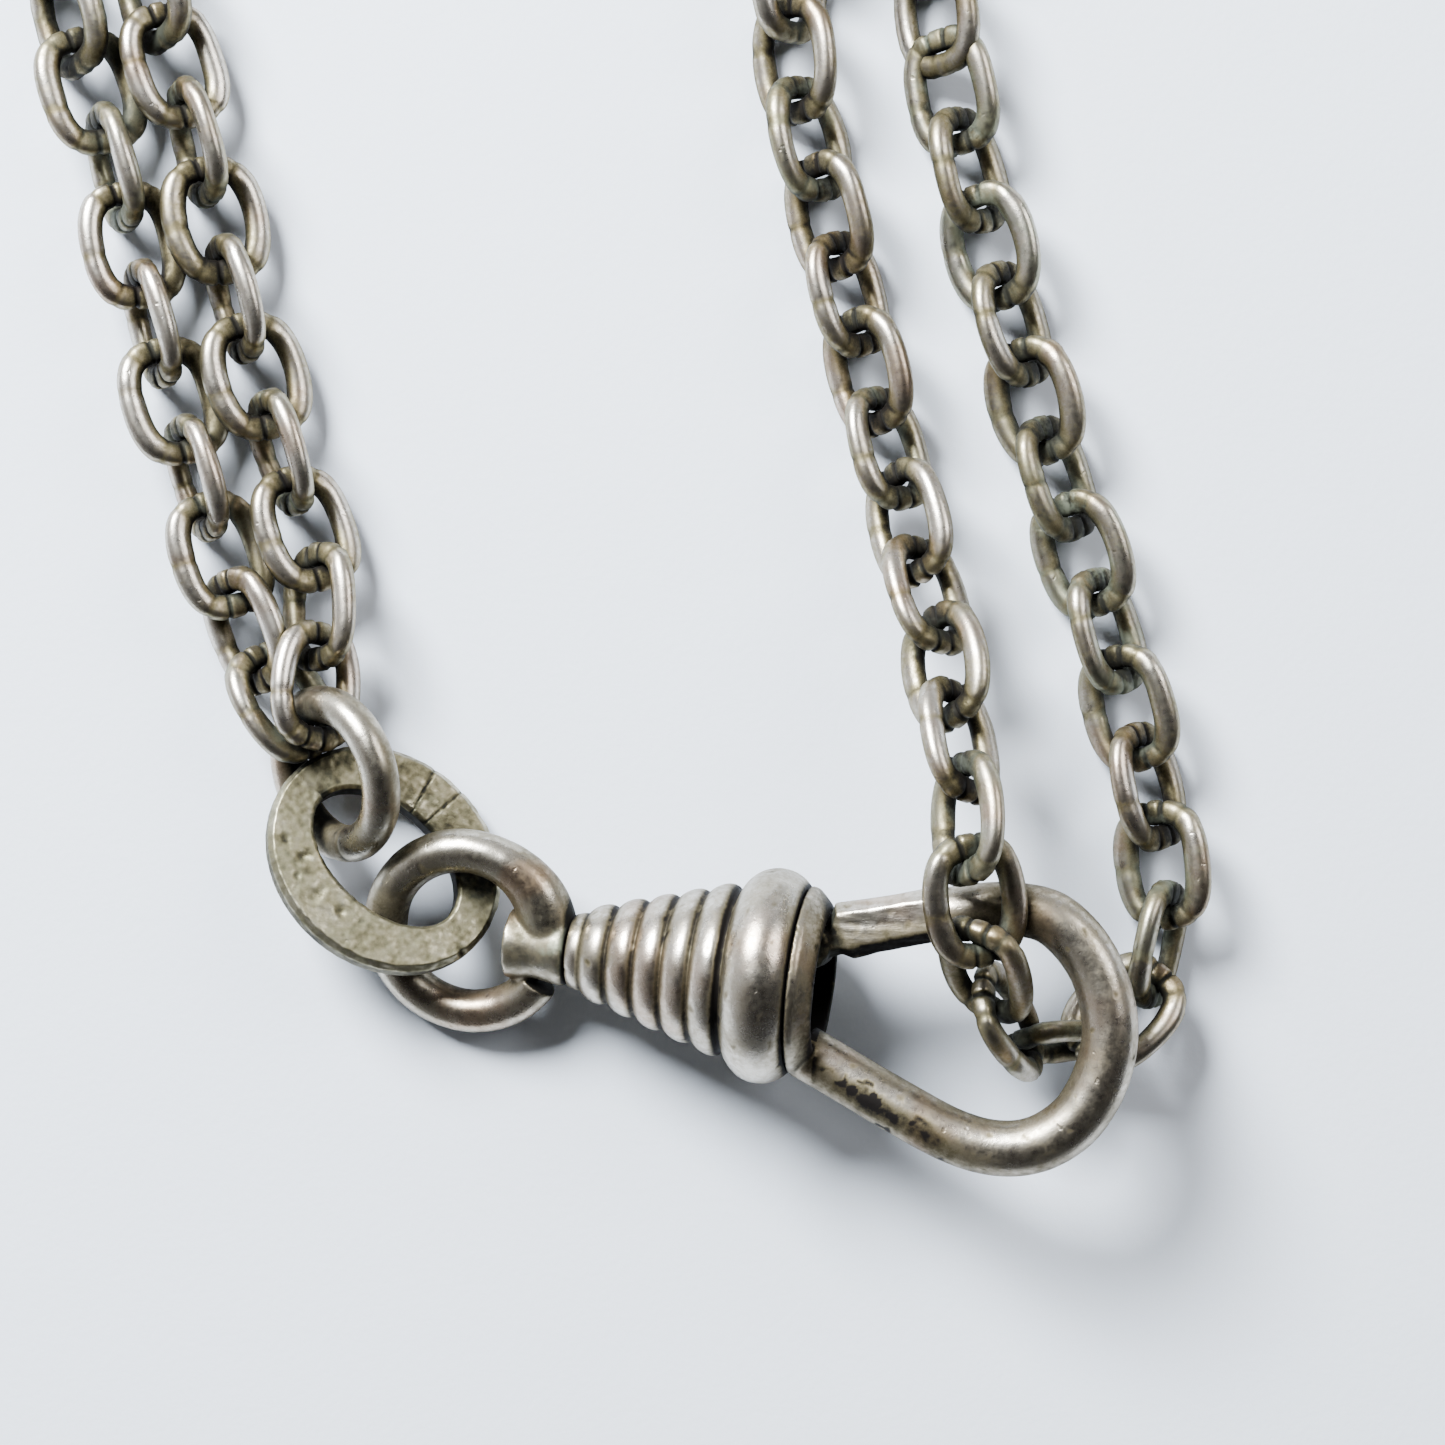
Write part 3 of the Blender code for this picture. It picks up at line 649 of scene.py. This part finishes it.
def link_mesh(name, shapes, look, verdigris):
    """A mesh of one or more placed links, from (points, faces, tarnish, frame) rows."""
    points, faces, tarnish_and_shade, green = [], [], [], []
    start = 0
    for (spots, rings, dark, place), share in zip(shapes, verdigris):
        turn = np.array(place.to_3x3())
        points.append(spots @ turn.T + np.array(place.translation))
        faces += [tuple(start + k for k in ring) for ring in rings]
        tarnish_and_shade.append(dark)
        green.append(np.full(len(spots), share))
        start += len(spots)
    mesh = bpy.data.meshes.new(name)
    mesh.from_pydata(np.concatenate(points).tolist(), [], faces)
    lift = np.array([vertex.normal.z for vertex in mesh.vertices])
    # Sides and undersides get painted shade along with their unrubbed patina.
    shaded_and_unrubbed = SIDE_SHADE_AND_TARNISH * (1 - np.clip(lift, 0, 1)) ** 2
    paint(mesh, np.concatenate(tarnish_and_shade) + shaded_and_unrubbed, np.concatenate(green))
    mesh.shade_smooth()
    finish_mesh(mesh, look)
    return mesh


def make_links(look):
    """Every link that has a CAD node of its own."""
    bodies = frame["record"]["behaviour"]["bodies"]
    body_of = {node: body for body, nodes in bodies.items() for node in nodes}
    rng = random.Random(SEED)
    for node in sorted(frame["nodes"]):
        if not node.startswith(("chain_", "hook_link")) or node == "chain_coil":
            continue
        points, faces, tarnish_and_shade = link_shape(rng, steps_end=46, steps_side=16, sides=14)
        if node == "hook_link_3":
            points = points * (1, GATE_ROOM, 1)
        if not node.startswith(("chain_a", "chain_b")):
            tarnish_and_shade = tarnish_and_shade + DARKER_STRANDS
        green = rng.uniform(0.0, 0.5) ** 2 * (2.4 if node.startswith("chain_d") else 1.2)
        row = (points, faces, tarnish_and_shade, node_frame(node))
        mesh = link_mesh("silver_" + node, [row], look, [min(green, 0.6)])
        put("silver_" + node, mesh, body_of[node], "chain_silver", node)


def coil_points(lane):
    """One length's way round the coil: inwards on the lower layer, and outwards on the upper one."""
    count = round(2 * COIL_TURNS * COIL_POINTS_PER_TURN)
    points = []
    for k in range(count + 1):
        turn = 2 * COIL_TURNS * k / count - COIL_TURNS
        angle = COIL_ENTRY - math.tau * (turn + COIL_TURNS)
        radius = COIL_MEAN_RADIUS + lane - COIL_PER_TURN * (COIL_TURNS - abs(turn))
        climb = min(max((turn - COIL_CLIMB[0]) / COIL_CLIMB[1], 0.0), 1.0)
        height = LOW_LAYER + (HIGH_LAYER - LOW_LAYER) * climb * climb * (3 - 2 * climb)
        points.append(COIL_CENTRE + Vector((radius * math.cos(angle), radius * math.sin(angle), height)))
    return points


def stored_route(start, end, lane):
    """From one strand's last pivot through the coil to the other strand's last pivot."""
    coil = coil_points(lane)
    run_in = [Vector(p) for p in RUNS[start]]
    run_out = [Vector(p) for p in reversed(RUNS[end])]
    way_in = [run_in[-1].lerp(coil[0], share) for share in (0.33, 0.66)]
    way_out = [coil[-1].lerp(run_out[0], share) for share in (0.25, 0.50, 0.75)]
    drop = HIGH_LAYER - run_out[0].z
    for point, share in zip(way_out, (0.02, 0.22, 0.65)):
        point.z = HIGH_LAYER - drop * share
    first, last = Vector(LAST_PIVOTS[start]), Vector(LAST_PIVOTS[end])
    way = [first, *run_in, *way_in, *coil, *way_out, *run_out, last]
    return [point + LAYOUT_SHIFT for point in way]


def evenly(line, gap):
    """Points at equal distances of about this gap along the line, and the line's length."""
    spots = np.array([tuple(p) for p in line])
    run = run_along(spots)
    at = np.linspace(0, run[-1], round(run[-1] / gap) + 1)
    return [Vector([float(np.interp(s, run, spots[:, k])) for k in range(3)]) for s in at], run[-1]


def make_stored_chain(name, start, end, lane, nodes, look):
    """The chain's unseen length between two strands, as a cord of separate links."""
    route = stored_route(start, end, lane)
    pivots, length = evenly(curve_through(route, 12), LINK_PITCH)
    rng = random.Random(STORED_SEED)
    variants = [link_shape(rng, steps_end=12, steps_side=5, sides=8, fine=False) for _ in range(6)]
    rows = []
    for k, (near, far) in enumerate(zip(pivots, pivots[1:])):
        along = (far - near).normalized()
        side = Vector((0, 0, 1)).cross(along).normalized()
        turn = Matrix((along, side, along.cross(side))).transposed().to_4x4()
        roll = math.radians((STORED_ROLL if k % 2 else -STORED_ROLL) + rng.uniform(-3, 3))
        place = Matrix.Translation((near + far) / 2) @ turn @ Matrix.Rotation(roll, 4, "X")
        rows.append((*variants[k % len(variants)], place))
    mesh = link_mesh(name, rows, look, [rng.uniform(0.0, 0.2) for _ in rows])
    piece = put(name, mesh, "snap", "chain_silver", *nodes)


# ---------------------------------------------------------------- snap


def barrel_profile():
    """The closed half-section: five full ribs and the bead outside, the cavity and bore inside."""
    outside = [(0.0, BARREL_BORE), (0.0, BARREL_END_RADIUS - 0.08), (0.05, BARREL_END_RADIUS)]
    outside += [(0.22, BARREL_END_RADIUS + 0.06), (0.38, BARREL_END_RADIUS + 0.10)]
    half = RIB_SPACING / 2
    steps = 16
    for rib in range(RIB_COUNT):
        at = RIB_FIRST_AT + rib * RIB_SPACING
        for k in range(steps):
            across = (k + 0.5) / steps * 2 - 1
            base = RIB_FIRST_RADIUS - RIB_HEIGHT + RIB_GROWTH * (rib + across / 2)
            outside.append((at + across * half, base + RIB_HEIGHT * (1 - abs(across) ** 2.1) ** 0.55))
    outside.append((BEAD_AT - BEAD_ROUND, 2.72))
    outside += arc((BEAD_AT, BEAD_RADIUS - BEAD_ROUND), BEAD_ROUND, 156, 36, 30)
    mouth = [(BARREL_LENGTH, 3.06), (BARREL_LENGTH, 2.9), (BARREL_LENGTH, CAVITY_RADIUS)]
    cavity = [(5.9, CAVITY_RADIUS), (5.2, 2.30), (3.5, 1.75), (1.9, 1.22), (1.08, 1.16)]
    cavity.append((1.08, BARREL_BORE))
    return outside + mouth + cavity


def barrel_detail(point, normal):
    """Uneven turning, dark grooves, small pits on the bead, and an inside painted black as painted shade."""
    radius = math.hypot(point.y, point.z)
    # The cavity, the bore and the mouth's face are painted black as painted shade.
    inside = normal.y * point.y + normal.z * point.z < -0.02 or point.x > BARREL_LENGTH - 0.01
    if inside or radius < BARREL_BORE + 0.05:
        return 0.0, 1.30, 0.0
    push = 0.030 * rough(point, 2.2, 3.0) + 0.012 * rough(point, 0.7, 8.0)
    along = (point.x - RIB_FIRST_AT) / RIB_SPACING
    ribbed = -0.5 < along < RIB_COUNT - 0.5
    valley = abs(along - math.floor(along + 0.5)) * 2 if ribbed else 0.0
    tarnish_and_shade = 0.12 + 0.62 * max(0.0, valley - 0.45) / 0.55 + 0.12 * rough(point, 0.9, 5.0)
    tarnish_and_shade += 0.55 * dome(point.x - 5.74, 0.10) + 0.75 * dome(point.x - BARREL_LENGTH, 0.10)
    tarnish_and_shade += 0.30 * dome(point.x, 0.14)
    blotch = max(0.0, rough(point, 1.6, 14.0) - 0.12) * 0.55 if point.x > 5.8 else 0.0
    pit = max(0.0, rough(point, 0.42, 21.0) - 0.52) * 2.2
    return push - 0.05 * pit, min(1.2, tarnish_and_shade + blotch + pit), 0.0


def make_barrel(place, look):
    mesh = detailed("silver_barrel", turned(barrel_profile(), 144), place, look, barrel_detail)
    put("silver_barrel", mesh, "snap", "snap_silver", "barrel")


def hook_ring_profile():
    back = BARREL_LENGTH + 0.04
    return [
        (HOOK_SPIGOT_START, HOOK_RING_INNER), (HOOK_SPIGOT_START, HOOK_SPIGOT), (back, HOOK_SPIGOT),
        (back, HOOK_RING_OUTER - 0.06), (back + 0.05, HOOK_RING_OUTER),
        (back + 0.28, HOOK_RING_OUTER - 0.05), (HOOK_RING_END - 0.32, HOOK_RING_OUTER - 0.30),
        (HOOK_RING_END - 0.10, HOOK_RING_OUTER - 0.52), (HOOK_RING_END, HOOK_RING_OUTER - 0.70),
        (HOOK_RING_END, HOOK_RING_INNER + 0.06), (HOOK_RING_END - 0.06, HOOK_RING_INNER),
    ]


def hook_detail(point, normal):
    """A worn hook: dark pits where its lower arm starts, painted light on that arm, and black painted shade in its
    ring's mouth.
    """
    radius = math.hypot(point.y, point.z)
    push = 0.022 * rough(point, 2.6, 31.0) + 0.008 * rough(point, 0.5, 3.0)
    tarnish_and_shade = 0.31 + 0.14 * rough(point, 1.3, 6.0)
    facing_in = -(normal.y * point.y + normal.z * point.z) / max(radius, 0.1)
    # The inside of the ring's mouth is painted black as painted shade.
    if point.x < HOOK_RING_END + 0.05 and radius < HOOK_RING_INNER + 0.15 and facing_in > 0.3:
        return 0.0, BLACK_SHADE, 0.0
    tarnish_and_shade += 0.75 * dome(point.x - BARREL_LENGTH, 0.12)
    tarnish_and_shade += 0.35 * dome(point.x - HOOK_RING_END, 0.22) * (1 if radius < 3.2 else 0.4)
    towards_loop = max(0.0, (Vector((*HOOK_LOOP_CENTRE, 0)) - point).normalized().dot(normal))
    tarnish_and_shade += 0.26 * towards_loop ** 2
    if point.y < 0 and HOOK_ARM[0] < point.x < HOOK_ARM[1]:
        # The arm's lower half is dark: grainy tarnished metal with painted shade. A streak above it is a painted
        # highlight, and pits lie between.
        inward = normal.x * 0.42 + normal.y * 0.91
        grains = 0.5 + 0.5 * rough(point, 0.24, 19.0)
        dirt_and_shade = 0.70 * dome(inward + 0.30, 0.50) * (0.6 + 0.9 * grains)
        highlight_streak = 0.34 * dome(inward - 0.42, 0.28)
        tarnish_and_shade += dome(point.x - 11.2, 3.2) * (dirt_and_shade - highlight_streak)
        holes = max(0.0, rough(point, 0.30, 11.0) - 0.12) * 8.0
        tarnish_and_shade += min(1.2, holes * dome(point.x - HOOK_PITS_AT, 1.3) * dome(inward - 0.02, 0.30))
    pit = max(0.0, rough(point, 0.40, 25.0) - 0.54) * 2.4
    return push - 0.02 * min(1.0, pit), min(BLACK_SHADE, max(0.0, tarnish_and_shade + pit)), 0.0


def make_hook(place, look):
    line = curve_through([(u, v, 0) for u, v in HOOK_ROUTE], 8)
    sections = []
    for k in range(len(line)):
        share = k / (len(line) - 1)
        size = HOOK_WIRE / 2 * (1.0 + 0.045 * dome(share - 0.5, 0.25))
        sections.append(round_section(size, 28))
    wire = swept(line, sections, (0, 0, 1))
    shape = fused([turned(hook_ring_profile(), 96), wire], voxel=0.075, smoothing=6)
    mesh = detailed("silver_hook", shape, place, look, hook_detail)
    put("silver_hook", mesh, "snap", "snap_silver", "hook")


def gate_detail(point, normal):
    """File marks along the bar, a painted highlight on its upper half, painted shade below, and painted shadow on
    its root.
    """
    along = Vector(GATE_END) - Vector(GATE_START)
    across = Vector((-along.y, along.x)).normalized()
    facing = normal.x * across.x + normal.y * across.y
    grain = Vector((point.x * 0.12, point.y, point.z))
    push = 0.020 * rough(grain, 0.22, 17.0) + 0.014 * rough(point, 0.9, 2.0)
    offset = (point.x - GATE_START[0]) * across.x + (point.y - GATE_START[1]) * across.y
    # The upper half stays bright as a painted highlight; the lower side and faces turned away are darkened as
    # painted shade.
    shaded_low_side = step_down(offset + 0.02, 0.07)
    tarnish_and_shade = 0.04 + 0.52 * shaded_low_side + 0.75 * max(0.0, -facing) + 0.26 * rough(grain, 0.26, 5.0)
    # The root is darker: painted shadow under the barrel's mouth, with real pits and a little verdigris.
    root = dome(point.x - 8.4, 0.95)
    pit = max(0.0, rough(point, 0.33, 41.0) - 0.24) * (2.2 * root + 0.5)
    return push - 0.05 * pit, min(1.3, max(0.0, tarnish_and_shade + 0.45 * root + pit)), 0.25 * root


def gate_section(half_wide, half_tall, steps=6):
    """A bar's section: flats on top, bottom and sides, and broad filed chamfers between them."""
    side, top = half_tall * 0.62, half_wide * 0.5
    corners = [
        (half_tall, top), (side, half_wide), (-side, half_wide), (-half_tall, top),
        (-half_tall, -top), (-side, -half_wide), (side, -half_wide), (half_tall, -top),
    ]
    shares = [0.04 + 0.92 * k / (steps - 1) for k in range(steps)]
    return [between(one, two, share) for one, two in around_outline(corners) for share in shares]


def make_gate(place, look):
    pivot = Vector((*GATE_PIVOT, 0))
    start, end = Vector((*GATE_START, 0)), Vector((*GATE_END, 0))
    wide, tall = GATE_WIDTH / 2, GATE_HEIGHT / 2
    stations = [
        (pivot + Vector((0.10, 0.0, 0)), 0.55, 0.84), (pivot + Vector((0.86, 0.35, 0)), 0.55, 0.84),
        (start, 1.0, 1.0), (start.lerp(end, 0.35), 0.92, 0.94), (end - (end - start) * 0.03, 0.92, 0.94),
        (end, 0.84, 0.88),
    ]
    centres = [centre for centre, _, _ in stations]
    sections = [gate_section(wide * b, tall * a) for _, a, b in stations]
    bar = swept(centres, sections, (0, 0, 1))
    knuckle = [(-wide, GATE_KNUCKLE - 0.06), (-wide + 0.06, GATE_KNUCKLE),
               (wide - 0.06, GATE_KNUCKLE), (wide, GATE_KNUCKLE - 0.06)]
    round_root = standing(turned(knuckle, 40, closed=False), pivot)
    shape = fused([bar, round_root], voxel=0.06, smoothing=3)
    mesh = detailed("silver_gate", shape, place, look, gate_detail, cut=bored)
    put("silver_gate", mesh, "gate", "snap_silver", "gate")


def bored(mesh):
    """The gate's mesh with the hole for its pin, in millimetres."""
    holder = bpy.data.objects.new("gate_blank", mesh)
    radius = PIN_RADIUS + 0.04
    cylinder = turned([(-2.0, radius), (2.0, radius)], 32, closed=False)
    points, faces = standing(cylinder, (*GATE_PIVOT, 0))
    drill_mesh = bpy.data.meshes.new("drill")
    drill_mesh.from_pydata([tuple(p) for p in points], [], faces)
    drill = bpy.data.objects.new("drill", drill_mesh)
    for thing in (holder, drill):
        bpy.context.scene.collection.objects.link(thing)
    cut = holder.modifiers.new("cut", "BOOLEAN")
    cut.operation = "DIFFERENCE"
    cut.object = drill
    made = baked(holder)
    for thing in (holder, drill):
        bpy.data.objects.remove(thing, do_unlink=True)
    made.name = "silver_gate"
    return made


def eye_detail(point, normal):
    """Soft wear on the wire, a greenish post patch, a black line at the barrel, and painted shade on the cut end.
    """
    push = 0.022 * rough(point, 1.8, 12.0) + 0.008 * rough(point, 0.45, 4.0)
    if point.x > -0.02:
        return 0.0, 0.7, 0.0
    hub = Vector((*EYE_CENTRE, 0)) - point
    towards_hub = max(0.0, hub.normalized().dot(normal))
    tarnish_and_shade = 0.12 + 0.34 * towards_hub ** 2 + 0.13 * rough(point, 1.4, 2.0)
    on_post = step_down(-(point.x + 2.15), 0.12)
    green = on_post * dome(point.y - 0.42, 0.70) * max(0.0, normal.z)
    tarnish_and_shade += 0.15 * on_post * (1.0 + 1.2 * rough(point, 0.25, 33.0))
    tarnish_and_shade += 0.30 * green * (1.0 + rough(point, 0.3, 33.0)) + 1.10 * dome(point.x + 0.03, 0.11)
    last_turn = math.radians(EYE_ARC[1])
    way = Vector((math.cos(last_turn), math.sin(last_turn), 0))
    cut_end = Vector((*EYE_CENTRE, 0)) + way * EYE_RADIUS
    tangent = Vector((-way.y, way.x, 0))
    # The wire's cut end face is painted black as painted shade.
    if (point - cut_end).length < 0.95 and normal.dot(tangent) > 0.75:
        tarnish_and_shade = 1.6
    pit = max(0.0, rough(point, 0.36, 29.0) - 0.58) * 1.8
    return push - 0.04 * pit, min(1.4, max(0.0, tarnish_and_shade + pit)), min(1.0, green * 0.75)


def make_eye(place, look):
    bend = arc(EYE_CENTRE, EYE_RADIUS, *EYE_ARC, 90)
    # The root curves into the arc's start. The last point only steers it, and its stretch is left out.
    steps = 6
    line = curve_through([(*p, 0) for p in (*EYE_ROOT, bend[0], bend[3])], steps)[:-steps]
    line += [Vector((*p, 0)) for p in bend[1:]]
    share, at, reach = EYE_SWELL
    sizes = [EYE_WIRE / 2 * (1 + share * dome(k - at, reach)) for k in range(len(line))]
    wire = swept(line, [round_section(size, 24) for size in sizes], (0, 0, 1))
    back = SHANK_END - HEAD_THICKNESS
    post = turned([
        (-POST_LENGTH, 0.55), (-POST_LENGTH + 0.05, POST_RADIUS * 0.96),
        (-POST_LENGTH * 0.55, POST_RADIUS * 0.88), (-0.22, POST_RADIUS), (-0.05, POST_RADIUS - 0.10),
        (-0.05, SHANK_RADIUS), (back, SHANK_RADIUS), (back, HEAD_RADIUS),
        (SHANK_END - 0.1, HEAD_RADIUS * 0.9), (SHANK_END, HEAD_RADIUS * 0.5),
    ], 56, closed=False)
    burr = turned([(-0.55, 0.12), (-0.50, 0.24), (-0.16, 0.26), (-0.10, 0.14)], 16, closed=False)
    burr = (burr[0] + np.array((0.0, POST_RADIUS - 0.06, 0.35)), burr[1])
    shape = fused([wire, post, burr], voxel=0.070, smoothing=18)
    roll = Matrix.Rotation(math.radians(EYE_ROLL), 4, "X")
    mesh = detailed("silver_eye", shape, place @ roll, look, eye_detail)
    put("silver_eye", mesh, "swivel", "snap_silver", "swivel_eye")


# ---------------------------------------------------------------- joining rings


def band_section(band):
    """The flat ring's section: a broad face, a bevelled outer rim and a plainer inner edge."""
    half = FLAT_RING_THICKNESS / 2
    inner_edge, outer_edge = 0.12, 0.18
    corners = [
        (band, -half + 0.16), (band, half - 0.22),
        (band - outer_edge, half), (-band + inner_edge, half),
        (-band, half - 0.12), (-band, -half + 0.12), (-band + inner_edge, -half), (band - 0.16, -half),
    ]
    pieces = (6, 5, 26, 3, 9, 3, 12, 3)
    return [between(one, two, k / count)
            for (one, two), count in zip(around_outline(corners), pieces) for k in range(count)]


def band_edges(turn):
    """The flat ring's inner and outer edge at a turn in radians."""
    way = Vector((math.cos(turn), math.sin(turn)))
    return [Vector((way.x * size[0], way.y * size[1])) for size in (FLAT_RING_INNER, FLAT_RING_OUTER)]


def band_detail(point, normal):
    """A granular face with generic punched marks, two seams, a nick and a hole wall in black painted shade."""
    turn = math.degrees(math.atan2(point.y / FLAT_RING_OUTER[1], point.x / FLAT_RING_OUTER[0])) % 360
    inner, outer = band_edges(math.radians(turn))
    spot = Vector((point.x, point.y))
    across = (spot - inner).length / (outer - inner).length
    push = 0.024 * rough(point, 0.26, 7.0) + 0.016 * rough(point, 0.9, 1.0)
    tarnish_and_shade = 0.47 + 0.30 * rough(point, 0.5, 4.0) + 0.34 * rough(point, 0.17, 9.0)
    tarnish_and_shade += 0.30 * max(0.0, rough(point, 1.6, 22.0)) + 0.30 * dome(across, 0.07)
    # Walls: the hole wall is painted black as painted shade, while the outer rim keeps a plain tone.
    if normal.z < 0.3:
        rim = 0.40 + 0.1 * rough(point, 0.8, 3.0)
        return push * 0.5, BLACK_SHADE if across < 0.5 else rim, 0.0
    if across > 0.90:
        tarnish_and_shade -= 0.30
    for at, share, wide, long in BAND_MARKS:
        low, high = band_edges(math.radians(at))
        offset = spot - low.lerp(high, share)
        outward = (high - low).normalized()
        radial = offset.dot(outward)
        around = offset.dot(Vector((-outward.y, outward.x)))
        dent = dome(math.hypot(radial / wide, around / long), 0.85)
        push -= 0.080 * dent
        tarnish_and_shade += 0.40 * dent
    for at in BAND_SEAMS:
        line = dome((turn - at) * 0.065, 0.05)
        push -= 0.06 * line
        tarnish_and_shade += 0.5 * line
    nick = dome((turn - BAND_NICK) * 0.065, 0.10) * dome(across - 0.95, 0.16)
    chip = dome((turn - BAND_CHIP) * 0.05, 0.22) * dome(across - 0.06, 0.16)
    push -= 0.12 * nick + 0.10 * chip
    tarnish_and_shade += 0.55 * nick + 0.75 * chip
    return push, min(1.2, max(0.0, tarnish_and_shade)), 0.08


def make_flat_ring(look):
    outline, sections = [], []
    count = 360
    for k in range(count):
        near, far = band_edges(math.tau * k / count)
        outline.append((*((far + near) / 2), 0))
        sections.append(band_section((far - near).length / 2))
    shape = swept(outline, sections, (0, 0, 1), closed=True)
    mesh = detailed("silver_flat_ring", shape, node_frame("flat_ring"), look, band_detail)
    put("silver_flat_ring", mesh, "flat_ring", "ring_silver", "flat_ring")


def hoop_detail(point, normal):
    """A worn round ring, darker towards its middle, with one soldered seam."""
    turn = math.degrees(math.atan2(point.y, point.x)) % 360
    seam = dome((turn - HOOP_SEAM) * 0.044, 0.07)
    inward = max(0.0, -(normal.x * point.x + normal.y * point.y) / JUMP_RING_RADIUS)
    push = 0.020 * rough(point, 1.5, 5.0) + 0.007 * rough(point, 0.4, 9.0) - 0.03 * seam
    tarnish_and_shade = 0.10 + 0.36 * inward ** 2 + 0.14 * rough(point, 1.2, 15.0) + 0.4 * seam
    return push, min(1.0, max(0.0, tarnish_and_shade)), 0.0


def make_jump_ring(look):
    count = 160
    hoop = [Vector((*p, 0)) for p in arc((0, 0), JUMP_RING_RADIUS, 0, 360, count)[:-1]]
    section = round_section(JUMP_RING_WIRE / 2, 32)
    shape = swept(hoop, [section] * count, (0, 0, 1), closed=True)
    mesh = detailed("silver_jump_ring", shape, node_frame("jump_ring"), look, hoop_detail)
    put("silver_jump_ring", mesh, "jump_ring", "ring_silver", "jump_ring")


# ---------------------------------------------------------------- stage


def make_floor():
    mesh = bpy.data.meshes.new("paper")
    reach = 0.6
    mesh.from_pydata([(-reach, -reach, 0), (reach, -reach, 0), (reach, reach, 0), (-reach, reach, 0)],
                     [], [(0, 1, 2, 3)])
    mesh.materials.append(paper("white_paper"))
    floor = bpy.data.objects.new("paper", mesh)
    bpy.context.scene.collection.objects.link(floor)


def make_camera():
    data = bpy.data.cameras.new("camera")
    data.angle = math.radians(CAMERA_ANGLE)
    data.clip_start = 0.004
    data.clip_end = 20.0
    camera = bpy.data.objects.new("camera", data)
    camera.location = [part * MM for part in CAMERA_AT]
    bpy.context.scene.collection.objects.link(camera)
    bpy.context.scene.camera = camera


def area_light(name, at, size, energy, colour):
    """A round light aimed at the origin."""
    data = bpy.data.lights.new(name, "AREA")
    data.shape = "DISK"
    data.size = size
    data.energy = energy
    data.color = colour
    light = bpy.data.objects.new(name, data)
    light.location = at
    light.rotation_euler = (-Vector(at)).to_track_quat("-Z", "Y").to_euler()
    bpy.context.scene.collection.objects.link(light)


def make_lights():
    """Soft window light from the upper left, in a room that is darker straight overhead."""
    area_light("window", (-0.10, 0.135, 0.15), size=0.105, energy=3.05, colour=(0.905, 0.955, 1.0))
    area_light("fill", (0.20, 0.13, 0.20), size=0.16, energy=0.60, colour=(0.98, 0.985, 1.0))
    world = bpy.data.worlds.new("room")
    world.use_nodes = True
    bpy.context.scene.world = world
    n = Nodes(world.node_tree)
    where = n.add("TexCoord")
    split = n.add("SeparateXYZ")
    n.link(where.outputs["Generated"], split.inputs["Vector"])
    overhead = n.ramp(n.range(split.outputs["Z"], 0.0, 1.0), (
        (0.0, (0.62, 0.65, 0.70)), (0.45, (0.42, 0.43, 0.45)), (0.78, (0.15, 0.142, 0.138)),
        (0.97, (0.045, 0.041, 0.038)),
    ))
    to_window = n.maths("ADD", n.maths("MULTIPLY", split.outputs["X"], WINDOW_WAY[0]),
                        n.maths("MULTIPLY", split.outputs["Y"], WINDOW_WAY[1]))
    greys = ((0.0, (0.10,) * 3), (0.5, (0.42,) * 3), (1.0, (1.25,) * 3))
    side = n.ramp(n.range(to_window, -0.75, 0.75), greys)
    background = world.node_tree.nodes["Background"]
    n.link(n.mix(1.0, overhead, side, "MULTIPLY"), background.inputs["Color"])
    background.inputs["Strength"].default_value = 1.45


def main():
    make_camera()
    make_lights()
    make_floor()
    chain = silver("chain_silver_look", CHAIN_TONES, patch=0.30, tarnish_bias=0.05, blush_share=0.6,
                   roughness=0.29)
    make_stored_chain("stored_chain_outer", "a", "d", COIL_LANE, ("run_a", "run_d", "chain_coil"), chain)
    make_stored_chain("stored_chain_inner", "b", "c", -COIL_LANE, ("run_b", "run_c"), chain)
    make_links(chain)
    snap = silver("snap_silver_look", SNAP_TONES)
    rings = silver("ring_silver_look", RING_TONES, blush_share=0.7)
    band = silver("flat_ring_look", BAND_TONES, patch=0.7, blush_share=0.15, roughness=0.36)
    filed = silver("gate_look", SNAP_TONES, grain=(1.0, 12.0, 12.0), grain_turn=(0.0, 0.0, 0.29),
                   grain_depth=0.6, roughness=0.30)
    place = snap_frame()
    make_barrel(place, snap)
    make_hook(place, snap)
    make_gate(place, filed)
    make_eye(place, rings)
    make_flat_ring(band)
    make_jump_ring(rings)
    dull = steel("spring_steel_look")
    for node in ("gate_pin", "gate_spring", "swivel_washer"):
        frame["nodes"][node].data.materials.clear()
        frame["nodes"][node].data.materials.append(dull)


main()
